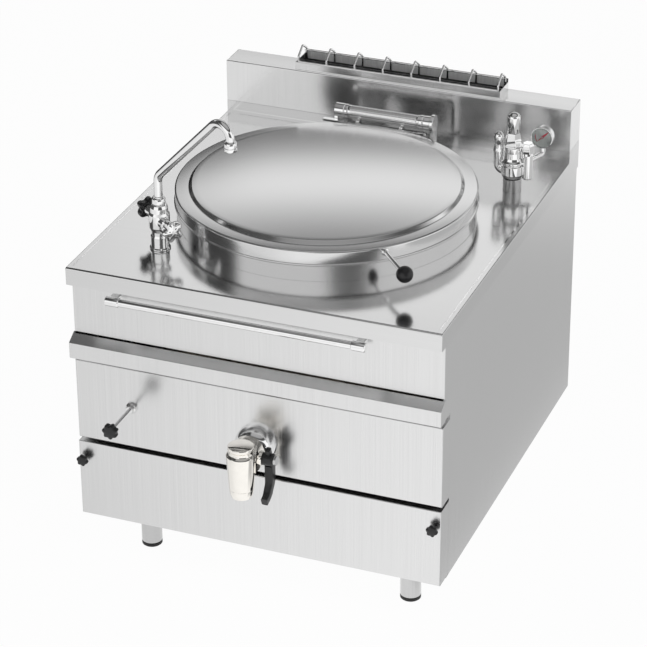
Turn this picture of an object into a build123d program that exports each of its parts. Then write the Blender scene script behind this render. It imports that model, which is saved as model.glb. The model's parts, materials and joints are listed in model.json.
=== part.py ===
from build123d import *
import math
import os

# Gas heated steam jacketed kettle with a hinged lid, in a free standing cabinet.
# Millimetres. The origin is on the floor under the middle of the worktop, +Z is up and the front faces -Y.

# ---------------------------------------------------------------- driving sizes
width = 800.0
depth = 900.0
worktop_z = 706.0
underside_z = 120.0
sheet = 1.5
plate = 2.0
seat = 0.3
running = 0.05
half_w = width / 2
half_d = depth / 2

# cabinet panels
lip = 38.0
lip_round = 4.5
fold_round = 2.0
return_y = 62.0 - half_d
upper_panel_y = 25.0 - half_d
nose_y = -half_d - 1.0
nose_top_z = 550.0
nose_edge_z = 535.0
nose_bottom_z = 500.0
middle_panel_y = 19.0 - half_d
middle_top_z = 487.0
middle_bottom_z = 305.0
door_y = 15.0 - half_d
door_top_z = 297.0
door_bottom_z = 122.0
door_axis_y = 50.0 - half_d
door_hook = 8.0
side_flange = 20.0
tube = 30.0
angle_t = 3.0

# feet
foot_x = half_w - 105.5
foot_y = half_d - 132.0
foot_r = 22.0
foot_wall = 2.0
foot_pad = 10.0
foot_stem = 55.0
foot_flange = 3.0
foot_flange_half = 35.0

# flue box, riser and wire guard behind the worktop
upstand_y = half_d - 69.0
upturn = 26.0
upstand_top_z = 828.0
riser_half = 237.5
riser_front_y = half_d - 62.0
riser_rear_y = half_d - 4.0
riser_h = 17.0
riser_rear_rise = 9.0
wire_r = 2.3
hoop_count = 8
hoop_pitch = 66.0
hoop_foot = 10.0
hoop_rise = 29.0
hoop_rear_rise = 11.0

# pan, jacket and lid
pan_y = -32.0
pan_r = 298.0
pan_wall = 2.0
pan_floor_z = 350.0
pan_floor = 3.0
pan_corner = 40.0
collar_r = pan_r + 13.0
collar_h = 35.0
collar_foot = 8.0
jacket_r = pan_r + pan_wall + 30.0
jacket_top_z = 640.0
jacket_bottom_z = 306.0
blanket = 22.0
lid_r = collar_r + 3.0
lid_skirt = 32.0
lid_ring = 29.0
lid_step = 8.0
lid_crown = 10.0
lid_lean = 6.0
lid_round = 4.0
liner_gap = 4.0
drip_r = pan_r - 3.0
drip_h = 8.0

# lid hinge
hinge_y = pan_y + lid_r + 26.0
hinge_z = 784.0
barrel_r = 14.0
collar_end_r = 15.5
disc_r = 20.0
pin_r = 6.0
left_collar_x = (-110.0, -80.0)
right_collar_x = (84.0, 110.0)
disc_w = 8.0
arm_w = 8.0
arm_x = 50.0
arm_in = 40.0
arm_low = 26.0
hinge_plate_x = (-133.0, 105.0)
hinge_plate_low = 10.0
hinge_plate_t = 5.0
hinge_plate_gap = 13.0
leg_w = 26.0
leg_t = 8.0
hinge_foot = 5.0

# lid handle
handle_angle = -47.0
handle_z = 758.0
handle_rod_r = 4.5
handle_reach = lid_r + 97.0
ball_r = 17.0

# front rail
rail_y = upper_panel_y - 22.0
rail_z = 646.0
rail_r = 8.0
rail_x = (86.0 - half_w, half_w - 157.0)
rail_end = 30.0
rail_end_r = 10.0

# drain cock
drain_z = 370.0
drain_bore_r = 20.0
drain_pipe_r = 24.0
flange_r = 43.0
flange_h = 31.0
barrel_y = middle_panel_y - 77.0
outlet_top_z = 398.0
outlet_seam_z = 312.0
outlet_bottom_z = 290.0
outlet_r = 30.0
outlet_seam_r = 25.5
outlet_end_r = 20.5
flow_r = 17.0
button_r = 22.5
button_h = 11.0
hood_r = 31.0
hood_top_z = 422.0
hood_round = 8.0
valve_ball_y = middle_panel_y - 47.0
valve_ball_r = 20.0
valve_bore_r = 13.0
stem_r = 7.0
boss_r = 15.0
lever_x = 47.0
grip_w = 22.0
grip_t = 14.0
grip_rise = 24.0
grip_drop = 84.0

# level tap in the middle panel
level_x = 126.0 - half_w
level_z = 399.0
level_rod_r = 5.0
level_pipe_r = 7.0
level_cock_y = middle_panel_y + 36.0
level_knob_y = middle_panel_y - 104.0
level_knob_r = 17.0
level_knob_w = 15.0

# star knobs of the service door
knob_x = half_w - 15.8
knob_z = 259.7
knob_y = door_y - 15.0
knob_r = 12.5
knob_w = 11.0
knob_shank_r = 2.5
knob_hole_r = 3.6
knob_reach = 8.0

# water tap at the front left corner
tap_x = 142.0 - half_w
tap_y = 150.0 - half_d
tap_body_r = 14.0
tap_flange_r = 24.0
tap_arm_z = 770.0
tap_arm_r = 12.0
tap_arm_angle = -42.0
tap_knob_reach = 72.0
tap_knob_w = 22.0
tap_knob_r = 15.0
tap_neck_z = 806.0
tap_foot_h = (4.0, 9.0, 12.0, 30.0, 36.0)
spout_r = 8.75
spout_wall = 1.25
spout_bend_z = 866.0
spout_reach = 203.0
spout_angle = -20.0
spout_bend_r = 28.0
hook_r = 27.0
aerator_r = 13.0
aerator_top_z = 1003.0
aerator_h = 22.0
tail_gap = 16.0
tail_turn_z = (600.0, 570.0)
tail_r = 7.0
inlet_r = 10.5
inlet_z = 90.0
inlet_h = 22.0
inlet_nut_r = 14.0
inlet_x = 52.0 - half_w
inlet_y = (tap_y, tap_y + 38.0)

# safety group behind the pan on the right
group_x = half_w - 76.0
group_y = half_d - 236.0
group_pipe_r = 19.5
group_body_z = 734.0
group_ring_z = 769.0
group_cone_z = 807.0
group_cap_z = 838.0
group_top_z = 883.0
group_r = 22.5
cap_r = 14.0
breaker_x = group_x - 32.0
breaker_r = 9.3
breaker_top_z = 835.0
breaker_base_z = 790.0
fill_x = group_x + 33.0
fill_r = 9.0
fill_top_z = 796.0
fill_cap_h = 22.0
fill_cap_r = 11.5
gauge_x = group_x + 50.5
gauge_y = group_y + 48.0
gauge_z = 816.0
gauge_r = 24.0
gauge_depth = 22.0
gauge_pipe_r = 6.0
gauge_pipe_z = 776.0
steam_z = 590.0
steam_pipe_r = 14.0
steam_bend = 32.0
louvre_half = 150.0
louvre_h = 6.0
louvre_pitch = 24.0
louvre_low_z = 480.0

# burner and flue inside the cabinet
fire_box_z = 190.0
duct_half = 100.0
duct_y = (half_d - 58.0, half_d - 8.0)
duct_z = (225.0, 295.0)
burner_z = 230.0
burner_r = 18.0
burner_pitch = 130.0
burner_length = 420.0
air_half_x = 160.0
air_y = (-200.0, 140.0)
manifold_r = 12.0
manifold_in = 30.0
gas_x = 185.0 - half_w
gas_y = 130.0 - half_d
gas_valve_z = (140.0, 185.0)
gas_valve_half = 30.0
gas_head_h = 25.0
gas_stem_h = 10.0
gas_pipe_r = 7.0
feed_y = gas_y + 35.0

# ---------------------------------------------------------------- derived sizes
panel_x = half_w - plate
frame_x = panel_x - sheet
rear_y = half_d - plate
top_under_z = worktop_z - plate
collar_z = worktop_z + collar_h
lid_top_z = collar_z + seat + lid_skirt
disc_z = lid_top_z + lid_step
step_r = lid_r - lid_ring
pan_outer_r = pan_r + pan_wall
blanket_r = jacket_r + seat + blanket
pan_axis = Axis((0, pan_y, 0), (0, 0, 1))
pan_plane = Plane(origin=(0, pan_y, 0), x_dir=(1, 0, 0), z_dir=(0, -1, 0))
os.makedirs("parts", exist_ok=True)


# ---------------------------------------------------------------- shared operations
def block(x, y, z, mode=Mode.ADD):
    """Add or cut a box between two corners, each given as a (low, high) pair."""
    with BuildSketch(Plane.XY.offset(z[0])) as face:
        with Locations(((x[0] + x[1]) / 2, (y[0] + y[1]) / 2)):
            Rectangle(x[1] - x[0], y[1] - y[0])
    extrude(face.sketch, amount=z[1] - z[0], mode=mode)


def rod(start, end, radius, mode=Mode.ADD):
    """Add or cut a round bar between two points."""
    run = Vector(*end) - Vector(*start)
    with BuildSketch(Plane(origin=start, z_dir=run)) as face:
        Circle(radius)
    extrude(face.sketch, amount=run.length, mode=mode)


def turn_z(x, y, outline, mode=Mode.ADD):
    """Turn an outline of (radius, height) about the upright line through x, y."""
    with BuildSketch(Plane(origin=(x, y, 0), x_dir=(1, 0, 0), z_dir=(0, -1, 0))) as face:
        with BuildLine():
            Polyline(*outline, close=True)
        make_face()
    revolve(face.sketch, axis=Axis((x, y, 0), (0, 0, 1)), mode=mode)


def turn_y(x, z, outline, mode=Mode.ADD):
    """Turn an outline of (y, radius) about the line through x, z that runs front to back."""
    with BuildSketch(Plane(origin=(x, 0, z), x_dir=(0, 1, 0), z_dir=(1, 0, 0))) as face:
        with BuildLine():
            Polyline(*outline, close=True)
        make_face()
    revolve(face.sketch, axis=Axis((x, 0, z), (0, 1, 0)), mode=mode)


def side_profile(points, half, mode=Mode.ADD):
    """Extrude an outline of (y, z) across the cabinet, the same distance to each side."""
    with BuildSketch(Plane.YZ) as face:
        with BuildLine():
            Polyline(*points, close=True)
        make_face()
    extrude(face.sketch, amount=half, both=True, mode=mode)


def star(plane, radius, lobes, thick):
    """A knob with round lobes, its grips between them, from the plane outwards."""
    lobe_r = radius * 0.30
    with BuildSketch(plane) as face:
        Circle(radius * 0.72)
        with PolarLocations(radius - lobe_r, lobes):
            Circle(lobe_r)
    extrude(face.sketch, amount=thick)


def pipe(points, radii, radius, bore):
    """A round pipe along straight runs joined by arcs."""
    with BuildLine() as route:
        FilletPolyline(*points, radius=radii)
    start = Plane(origin=route.wire() @ 0, z_dir=route.wire() % 0)
    with BuildSketch(start) as face:
        Circle(radius)
        if bore:
            Circle(bore, mode=Mode.SUBTRACT)
    sweep(face.sketch, path=route.wire())


def inlet_end(x, y):
    """The free end of a supply pipe under the bottom pan, with its nut."""
    rod((x, y, inlet_z), (x, y, inlet_z + inlet_h), inlet_r)
    rod((x, y, inlet_z + inlet_h), (x, y, underside_z - seat), inlet_nut_r)


# ---------------------------------------------------------------- cabinet
with BuildPart() as worktop:
    block((-half_w, half_w), (-half_d, half_d), (worktop_z - lip, worktop_z))
    block((-half_w, half_w), (upstand_y, half_d), (worktop_z, worktop_z + upturn))
    fillet(worktop.edges().filter_by(Axis.X).group_by(Axis.Y)[0].sort_by(Axis.Z)[-1], lip_round)
    fillet(worktop.edges().filter_by(Axis.Z).group_by(Axis.Y)[0], fold_round)
    block((-panel_x, panel_x), (-rear_y, rear_y), (worktop_z - lip, top_under_z), Mode.SUBTRACT)
    block((-panel_x, panel_x), (upstand_y + plate, rear_y), (worktop_z, worktop_z + upturn), Mode.SUBTRACT)
    flue_hole_y = (duct_y[0] + sheet, duct_y[1] - sheet)
    block((-duct_half, duct_half), flue_hole_y, (top_under_z, worktop_z), Mode.SUBTRACT)
    rod((0, pan_y, top_under_z), (0, pan_y, worktop_z), collar_r + seat, Mode.SUBTRACT)
    rod((tap_x, tap_y, top_under_z), (tap_x, tap_y, worktop_z), tap_flange_r - 2 * plate, Mode.SUBTRACT)
    rod((group_x, group_y, top_under_z), (group_x, group_y, worktop_z), group_pipe_r + seat, Mode.SUBTRACT)
worktop.part.label = "worktop"

with BuildPart() as flue_box:
    block((-half_w, half_w), (upstand_y, half_d), (worktop_z + upturn, upstand_top_z))
    fillet(flue_box.edges().group_by(Axis.Z)[-1], fold_round)
    inner_x = (-half_w + sheet, half_w - sheet)
    inner_y = (upstand_y + sheet, half_d - sheet)
    block(inner_x, inner_y, (worktop_z + upturn, upstand_top_z - sheet), Mode.SUBTRACT)
    slot_x = (-riser_half + sheet, riser_half - sheet)
    slot_y = (riser_front_y + sheet, riser_rear_y - sheet)
    block(slot_x, slot_y, (upstand_top_z - sheet, upstand_top_z), Mode.SUBTRACT)
flue_box.part.label = "flue_box"

with BuildPart() as flue_riser:
    riser_top_z = upstand_top_z + riser_h
    block((-riser_half, riser_half), (riser_front_y, riser_rear_y), (upstand_top_z, riser_top_z))
    block(slot_x, slot_y, (upstand_top_z, riser_top_z), Mode.SUBTRACT)
    rear_wall_y = (riser_rear_y - sheet, riser_rear_y)
    block((-riser_half, riser_half), rear_wall_y, (riser_top_z, riser_top_z + riser_rear_rise))
flue_riser.part.label = "flue_riser"

with BuildPart() as flue_guard:
    hoop_front_y = riser_front_y + sheet + wire_r + running
    hoop_rear_y = riser_rear_y - sheet - wire_r - running
    hoop_low_z = upstand_top_z + wire_r + 2 * running
    hoop_knee_z = riser_top_z + hoop_foot
    hoop_top = ((hoop_front_y + hoop_rear_y) / 2, riser_top_z + hoop_rise)
    hoop_x = [hoop_pitch * (i - (hoop_count - 1) / 2) for i in range(hoop_count)]
    for x in hoop_x:
        hoop = [
            (x, hoop_front_y, hoop_low_z),
            (x, hoop_front_y, hoop_knee_z),
            (x, hoop_top[0], hoop_top[1]),
            (x, hoop_rear_y, riser_top_z + hoop_rear_rise),
            (x, hoop_rear_y, hoop_low_z),
        ]
        pipe(hoop, 2.4 * wire_r, wire_r, 0)
    rail_low = riser_top_z + hoop_rear_rise - 2 * wire_r
    rod((hoop_x[0], hoop_rear_y, rail_low), (hoop_x[-1], hoop_rear_y, rail_low), wire_r)
    rail_high = riser_top_z - wire_r
    rod((hoop_x[0], hoop_front_y, rail_high), (hoop_x[-1], hoop_front_y, rail_high), wire_r)
flue_guard.part.label = "flue_guard"


def side_panel(side):
    """A side sheet with its front and rear edges folded in, on the left (-1) or right (1)."""
    outer, inner = sorted((side * panel_x, side * frame_x)), side * (frame_x - side_flange)
    flange = sorted((side * panel_x, inner))
    low_high = (underside_z, top_under_z - seat)
    with BuildPart() as panel:
        block(outer, (return_y, rear_y - sheet), low_high)
        block(flange, (return_y, return_y + sheet), low_high)
        block(flange, (rear_y - 2 * sheet, rear_y - sheet), low_high)
        hole = (side * knob_x, return_y, knob_z)
        rod(hole, (side * knob_x, return_y + sheet, knob_z), knob_hole_r, Mode.SUBTRACT)
    return panel


side_panel_left = side_panel(-1)
side_panel_left.part.label = "side_panel_left"
side_panel_right = side_panel(1)
side_panel_right.part.label = "side_panel_right"

with BuildPart() as rear_panel:
    block((-panel_x, panel_x), (rear_y - sheet, rear_y), (underside_z, top_under_z - seat))
    louvre_y = (rear_y - sheet, rear_y)
    for row in range(4):
        louvre_z = louvre_low_z + louvre_pitch * row
        block((-louvre_half, louvre_half), louvre_y, (louvre_z, louvre_z + louvre_h), Mode.SUBTRACT)
rear_panel.part.label = "rear_panel"

with BuildPart() as front_panel_upper:
    upper_top_z = top_under_z - seat
    side_profile(
        [
            (return_y, upper_top_z),
            (upper_panel_y, upper_top_z),
            (upper_panel_y, nose_bottom_z),
            (return_y, nose_bottom_z),
        ],
        panel_x,
    )
    side_profile(
        [
            (upper_panel_y, nose_top_z),
            (nose_y, nose_edge_z),
            (nose_y, nose_bottom_z),
            (upper_panel_y, nose_bottom_z),
        ],
        half_w,
    )
    nose_edges = front_panel_upper.edges().filter_by(Axis.X).group_by(Axis.Y)[0]
    fillet(nose_edges, fold_round)
    side_profile(
        [
            (return_y, upper_top_z - sheet),
            (upper_panel_y + sheet, upper_top_z - sheet),
            (upper_panel_y + sheet, nose_top_z + sheet),
            (nose_y + sheet, nose_edge_z - sheet),
            (nose_y + sheet, nose_bottom_z + sheet),
            (return_y, nose_bottom_z + sheet),
        ],
        panel_x - sheet,
        Mode.SUBTRACT,
    )
front_panel_upper.part.label = "front_panel_upper"


def tray(front_y, rear, low_z, high_z):
    """A folded front sheet with returns on all four sides, open towards the inside."""
    block((-panel_x, panel_x), (front_y, rear), (low_z, high_z))
    hollow = (front_y + sheet, rear), (low_z + sheet, high_z - sheet)
    block((-panel_x + sheet, panel_x - sheet), *hollow, Mode.SUBTRACT)


with BuildPart() as front_panel_middle:
    tray(middle_panel_y, return_y, middle_bottom_z, middle_top_z)
    fillet(front_panel_middle.edges().group_by(Axis.Y)[0], fold_round)
    face_y = (middle_panel_y, middle_panel_y + sheet)
    rod((0, face_y[0], drain_z), (0, face_y[1], drain_z), drain_pipe_r + seat, Mode.SUBTRACT)
    level_hole_r = level_rod_r + 2.0
    rod((level_x, face_y[0], level_z), (level_x, face_y[1], level_z), level_hole_r, Mode.SUBTRACT)
front_panel_middle.part.label = "front_panel_middle"

with BuildPart() as service_door:
    tray(door_y, door_axis_y, door_bottom_z, door_top_z)
    fillet(service_door.edges().group_by(Axis.Y)[0], fold_round)
    hook_y = (door_axis_y, door_axis_y + door_hook)
    block((-panel_x, panel_x), hook_y, (door_bottom_z, door_bottom_z + sheet))
    for side in (-1, 1):
        cheek_x = sorted((side * panel_x, side * (panel_x - sheet)))
        block(cheek_x, (door_axis_y - sheet, return_y - seat), (door_bottom_z, door_top_z))
        bush = (side * knob_x, door_y, knob_z)
        rod(bush, (side * knob_x, door_y + sheet, knob_z), knob_shank_r + running, Mode.SUBTRACT)
service_door.part.label = "service_door"

with BuildPart() as bottom_pan:
    pan_z = (underside_z, underside_z + sheet)
    between_x = frame_x - side_flange
    block((-panel_x, panel_x), (door_axis_y + seat, return_y), pan_z)
    block((-between_x, between_x), (return_y, rear_y - sheet), pan_z)
    block((-frame_x, frame_x), (return_y + sheet, rear_y - 2 * sheet), pan_z)
    block((-air_half_x, air_half_x), air_y, pan_z, Mode.SUBTRACT)
    for x, y in ((inlet_x, inlet_y[0]), (inlet_x, inlet_y[1]), (gas_x, gas_y)):
        rod((x, y, pan_z[0]), (x, y, pan_z[1]), tail_r + seat, Mode.SUBTRACT)
bottom_pan.part.label = "bottom_pan"

with BuildPart() as base_frame:
    ring_z = (underside_z + sheet, underside_z + sheet + tube)
    frame_y = (return_y + sheet, rear_y - 2 * sheet)
    block((-frame_x, frame_x), frame_y, ring_z)
    inside_x = (-frame_x + tube, frame_x - tube)
    inside_y = (frame_y[0] + tube, frame_y[1] - tube)
    block(inside_x, inside_y, ring_z, Mode.SUBTRACT)
    head_z = (top_under_z - seat - tube, top_under_z - seat)
    for sx in (-1, 1):
        outer_x = sorted((sx * frame_x, sx * (frame_x - tube)))
        web_x = sorted((sx * frame_x, sx * (frame_x - angle_t)))
        for y in (frame_y[0], frame_y[1]):
            inner = y + tube if y < 0 else y - tube
            web = y + angle_t if y < 0 else y - angle_t
            block(web_x, sorted((y, inner)), (ring_z[1], head_z[1]))
            block(outer_x, sorted((y, web)), (ring_z[1], head_z[1]))
        block(web_x, frame_y, head_z)
        knob_end = (sx * knob_x, frame_y[0] + angle_t, knob_z)
        rod((sx * knob_x, frame_y[0], knob_z), knob_end, knob_hole_r, Mode.SUBTRACT)
base_frame.part.label = "base_frame"

with BuildPart() as leg_sleeves:
    for x in (-foot_x, foot_x):
        for y in (-foot_y, foot_y):
            rod((x, y, foot_pad + seat), (x, y, underside_z), foot_r)
            flange_x = (x - foot_flange_half, x + foot_flange_half)
            flange_y = (y - foot_flange_half, y + foot_flange_half)
            block(flange_x, flange_y, (underside_z - foot_flange, underside_z))
            rod((x, y, foot_pad + seat), (x, y, underside_z), foot_r - foot_wall, Mode.SUBTRACT)
leg_sleeves.part.label = "leg_sleeves"


def foot(x, y):
    """A levelling foot: a black pad with a stem that turns up and down in the leg sleeve."""
    stem_outer = foot_r - foot_wall - 2 * running
    with BuildPart() as piece:
        rod((x, y, 0), (x, y, foot_pad), foot_r)
        fillet(piece.edges().group_by(Axis.Z)[0], fold_round)
        rod((x, y, foot_pad), (x, y, foot_pad + foot_stem), stem_outer)
    return piece


feet = {}
for name, x, y in (
    ("foot_front_left", -foot_x, -foot_y),
    ("foot_front_right", foot_x, -foot_y),
    ("foot_rear_left", -foot_x, foot_y),
    ("foot_rear_right", foot_x, foot_y),
):
    feet[name] = foot(x, y)
    feet[name].part.label = name

with BuildPart() as front_rail:
    rod((rail_x[0] + rail_end, rail_y, rail_z), (rail_x[1] - rail_end, rail_y, rail_z), rail_r)
front_rail.part.label = "front_rail"

with BuildPart() as rail_brackets:
    for x0, x1 in ((rail_x[0], rail_x[0] + rail_end), (rail_x[1] - rail_end, rail_x[1])):
        rod((x0, rail_y, rail_z), (x1, rail_y, rail_z), rail_end_r)
        block((x0, x1), (rail_y, upper_panel_y), (rail_z - rail_end_r, rail_z + rail_end_r))
rail_brackets.part.label = "rail_brackets"

# ---------------------------------------------------------------- pan and jacket
cone_y = middle_panel_y - flange_h
with BuildPart() as pan:
    with BuildSketch(pan_plane):
        with BuildLine():
            outer_low = pan_floor_z - pan_floor
            corner_z = pan_floor_z + pan_corner
            floor_r = pan_r - pan_corner
            RadiusArc((floor_r, pan_floor_z), (pan_r, corner_z), -pan_corner)
            Polyline(
                (pan_r, corner_z),
                (pan_r, collar_z),
                (collar_r, collar_z),
                (collar_r, worktop_z - collar_foot),
                (collar_r - pan_wall, worktop_z - collar_foot),
                (collar_r - pan_wall, collar_z - pan_wall),
                (pan_outer_r, collar_z - pan_wall),
                (pan_outer_r, corner_z),
            )
            RadiusArc((pan_outer_r, corner_z), (floor_r, outer_low), pan_corner + pan_wall)
            Polyline((floor_r, outer_low), (0, outer_low), (0, pan_floor_z), (floor_r, pan_floor_z))
        make_face()
    revolve(axis=pan_axis)
    stub_start = pan_y - floor_r
    rod((0, stub_start, drain_z), (0, cone_y, drain_z), drain_pipe_r)
    rod((0, pan_y, drain_z), (0, stub_start - 1, drain_z), drain_pipe_r + 1, Mode.SUBTRACT)
    rod((0, pan_y, drain_z), (0, cone_y, drain_z), drain_bore_r, Mode.SUBTRACT)
pan.part.label = "pan"

with BuildPart() as jacket:
    inner_r = jacket_r - pan_wall
    ring_r = pan_outer_r + 2 * running
    turn_z(
        0,
        pan_y,
        [
            (0, jacket_bottom_z),
            (jacket_r, jacket_bottom_z),
            (jacket_r, jacket_top_z),
            (ring_r, jacket_top_z),
            (ring_r, jacket_top_z - pan_wall),
            (inner_r, jacket_top_z - pan_wall),
            (inner_r, jacket_bottom_z + pan_floor),
            (0, jacket_bottom_z + pan_floor),
        ],
    )
    rod((0, pan_y, drain_z), (0, cone_y, drain_z), drain_pipe_r + 2 * running, Mode.SUBTRACT)
jacket.part.label = "jacket"

steam_dir = Vector(group_x, group_y - pan_y, 0).normalized()
port = Vector(0, pan_y, steam_z) + steam_dir * (jacket_r + 2 * running)
with BuildPart() as steam_pipe:
    corner = Vector(group_x, group_y, steam_z)
    head = Vector(group_x, group_y, worktop_z - 20.0)
    pipe([head, corner, port], steam_bend, steam_pipe_r, steam_pipe_r - plate)
    rod(head, (group_x, group_y, group_body_z), group_pipe_r)
    rod(head, (group_x, group_y, group_body_z), steam_pipe_r - plate, Mode.SUBTRACT)
steam_pipe.part.label = "steam_pipe"

with BuildPart() as insulation:
    cut_r = jacket_r + seat
    low, high = jacket_bottom_z + pan_floor, jacket_top_z - pan_wall
    turn_z(0, pan_y, [(cut_r, low), (blanket_r, low), (blanket_r, high), (cut_r, high)])
    rod((0, pan_y, drain_z), (0, pan_y - blanket_r - 5, drain_z), drain_pipe_r + 2, Mode.SUBTRACT)
    rod(port - steam_dir * 10, port + steam_dir * 2 * blanket, steam_pipe_r + 2, Mode.SUBTRACT)
    level_hole = ((level_x, -blanket_r, level_z), (level_x, -blanket_r / 2, level_z))
    rod(*level_hole, level_pipe_r + 2, Mode.SUBTRACT)
insulation.part.label = "insulation"

with BuildPart() as fire_box:
    low, high = fire_box_z, jacket_bottom_z - seat
    turn_z(0, pan_y, [(jacket_r - sheet, low), (jacket_r, low), (jacket_r, high), (jacket_r - sheet, high)])
    block((-duct_half, duct_half), (0, duct_y[1]), (duct_z[0] + sheet, duct_z[1] - sheet), Mode.SUBTRACT)
fire_box.part.label = "fire_box"

with BuildPart() as flue_duct:
    outer_x = (-duct_half - sheet, duct_half + sheet)
    block(outer_x, (0, duct_y[1]), duct_z)
    block(outer_x, duct_y, (duct_z[0], top_under_z - seat))
    inner_x = (-duct_half, duct_half)
    block(inner_x, (0, duct_y[1] - sheet), (duct_z[0] + sheet, duct_z[1] - sheet), Mode.SUBTRACT)
    core_y = (duct_y[0] + sheet, duct_y[1] - sheet)
    block(inner_x, core_y, (duct_z[0] + sheet, top_under_z - seat), Mode.SUBTRACT)
    rod((0, pan_y, 0), (0, pan_y, worktop_z), jacket_r + 2 * running, Mode.SUBTRACT)
flue_duct.part.label = "flue_duct"

with BuildPart() as burner:
    front, back = pan_y - burner_length / 2, pan_y + burner_length / 2
    for x in (-burner_pitch, 0, burner_pitch):
        rod((x, front, burner_z), (x, back, burner_z), burner_r)
        for y in (front + burner_r, back - burner_r):
            block((x - burner_r, x + burner_r), (y - sheet, y + sheet), (underside_z + sheet, burner_z))
    manifold_y = front + manifold_in
    rod((-burner_pitch, manifold_y, burner_z), (burner_pitch, manifold_y, burner_z), manifold_r)
burner.part.label = "burner"

with BuildPart() as gas_valve:
    valve_x = (gas_x - gas_valve_half, gas_x + gas_valve_half)
    block(valve_x, (gas_y - gas_valve_half, gas_y + gas_valve_half), gas_valve_z)
    head_z = gas_valve_z[1] + gas_head_h
    rod((gas_x, gas_y, gas_valve_z[1]), (gas_x, gas_y, head_z), gas_valve_half * 0.6)
    rod((gas_x, gas_y, head_z), (gas_x, gas_y, head_z + gas_stem_h), gas_valve_half * 0.4)
    rod((gas_x, gas_y, underside_z - 2), (gas_x, gas_y, gas_valve_z[0]), gas_pipe_r)
    inlet_end(gas_x, gas_y)
    feed_x = -burner_pitch / 2
    feed_z = (gas_valve_z[0] + gas_valve_z[1]) / 2
    feed = [
        (valve_x[1] - 1, gas_y, feed_z),
        (feed_x, gas_y, feed_z),
        (feed_x, feed_y, feed_z),
        (feed_x, feed_y, burner_z),
        (feed_x, manifold_y - manifold_r - seat, burner_z),
    ]
    pipe(feed, 9.0, gas_pipe_r, 0)
gas_valve.part.label = "gas_valve"

# ---------------------------------------------------------------- drain cock
with BuildPart() as drain_flange:
    flange_y = middle_panel_y - seat
    bore = drain_pipe_r + 2 * running
    turn_y(
        0,
        drain_z,
        [
            (flange_y, bore),
            (flange_y, flange_r),
            (flange_y - 8, flange_r - 0.5),
            (flange_y - 17, flange_r - 4),
            (flange_y - 25, flange_r - 10),
            (cone_y, flange_r - 17),
            (cone_y, bore),
        ],
    )
drain_flange.part.label = "drain_flange"

with BuildPart() as drain_body:
    body_y = cone_y - seat
    hood_low_z = outlet_top_z - 6
    with BuildSketch(Plane.XY.offset(hood_low_z)) as hood:
        with Locations((0, barrel_y), (0, valve_ball_y)):
            Circle(hood_r)
        make_hull()
    extrude(hood.sketch, amount=hood_top_z - hood_low_z)
    fillet(drain_body.edges().group_by(Axis.Z)[-1], hood_round)
    brow = [
        (barrel_y - hood_r - 1, outlet_top_z + 1),
        (barrel_y + hood_r / 2, hood_top_z),
        (barrel_y - hood_r - 1, hood_top_z),
    ]
    side_profile(brow, hood_r, Mode.SUBTRACT)
    rod((0, barrel_y, outlet_top_z), (0, barrel_y, hood_top_z), button_r + 3, Mode.SUBTRACT)
    rod((0, valve_ball_y, drain_z - hood_r), (0, valve_ball_y, hood_low_z), hood_r)
    rod((0, body_y, drain_z), (0, barrel_y, drain_z), drain_pipe_r)
    rod((0, valve_ball_y, drain_z), (lever_x - grip_w / 2 - 2, valve_ball_y, drain_z), boss_r)
    turn_z(
        0,
        barrel_y,
        [
            (0, outlet_seam_z),
            (outlet_seam_r, outlet_seam_z),
            (outlet_r, hood_low_z - 1),
            (outlet_r, hood_low_z + 3),
            (outlet_r - 2.5, outlet_top_z),
            (button_r - 2, outlet_top_z),
            (button_r - 2, outlet_top_z + 3),
            (button_r, outlet_top_z + 4),
            (button_r, outlet_top_z + button_h - 3),
            (button_r - 3, outlet_top_z + button_h),
            (0, outlet_top_z + button_h),
        ],
    )
    behind = (body_y, body_y + 2 * hood_r)
    block((-2 * hood_r, 2 * hood_r), behind, (drain_z - 2 * hood_r, hood_top_z), Mode.SUBTRACT)
    cavity_r = valve_ball_r + 2 * running
    rod((0, body_y, drain_z), (0, valve_ball_y - cavity_r, drain_z), cavity_r, Mode.SUBTRACT)
    stem_bore = stem_r + running
    rod((0, valve_ball_y, drain_z), (lever_x, valve_ball_y, drain_z), stem_bore, Mode.SUBTRACT)
    flow_top_z = drain_z + valve_bore_r + 1
    rod((0, body_y, drain_z), (0, barrel_y, drain_z), valve_bore_r, Mode.SUBTRACT)
    rod((0, barrel_y, outlet_seam_z), (0, barrel_y, flow_top_z), flow_r, Mode.SUBTRACT)
drain_body.part.label = "drain_body"

with BuildPart() as drain_outlet:
    turn_z(
        0,
        barrel_y,
        [
            (flow_r, outlet_bottom_z),
            (outlet_end_r - 1.5, outlet_bottom_z),
            (outlet_end_r + 1, outlet_bottom_z + 2.5),
            (outlet_seam_r - 1.5, outlet_bottom_z + 10),
            (outlet_seam_r - 0.4, outlet_seam_z - seat),
            (flow_r, outlet_seam_z - seat),
        ],
    )
drain_outlet.part.label = "drain_outlet"

with BuildPart() as drain_ball:
    with Locations((0, valve_ball_y, drain_z)):
        Sphere(valve_ball_r)
    stem_end = lever_x + grip_w / 2 + 2
    rod((0, valve_ball_y, drain_z), (stem_end, valve_ball_y, drain_z), stem_r)
    rod((stem_end, valve_ball_y, drain_z), (stem_end + 5, valve_ball_y, drain_z), stem_r + 3)
    ball_low, ball_high = drain_z - valve_ball_r, drain_z + valve_ball_r
    rod((0, valve_ball_y, ball_low), (0, valve_ball_y, ball_high), valve_bore_r, Mode.SUBTRACT)
drain_ball.part.label = "drain_ball"

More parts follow.
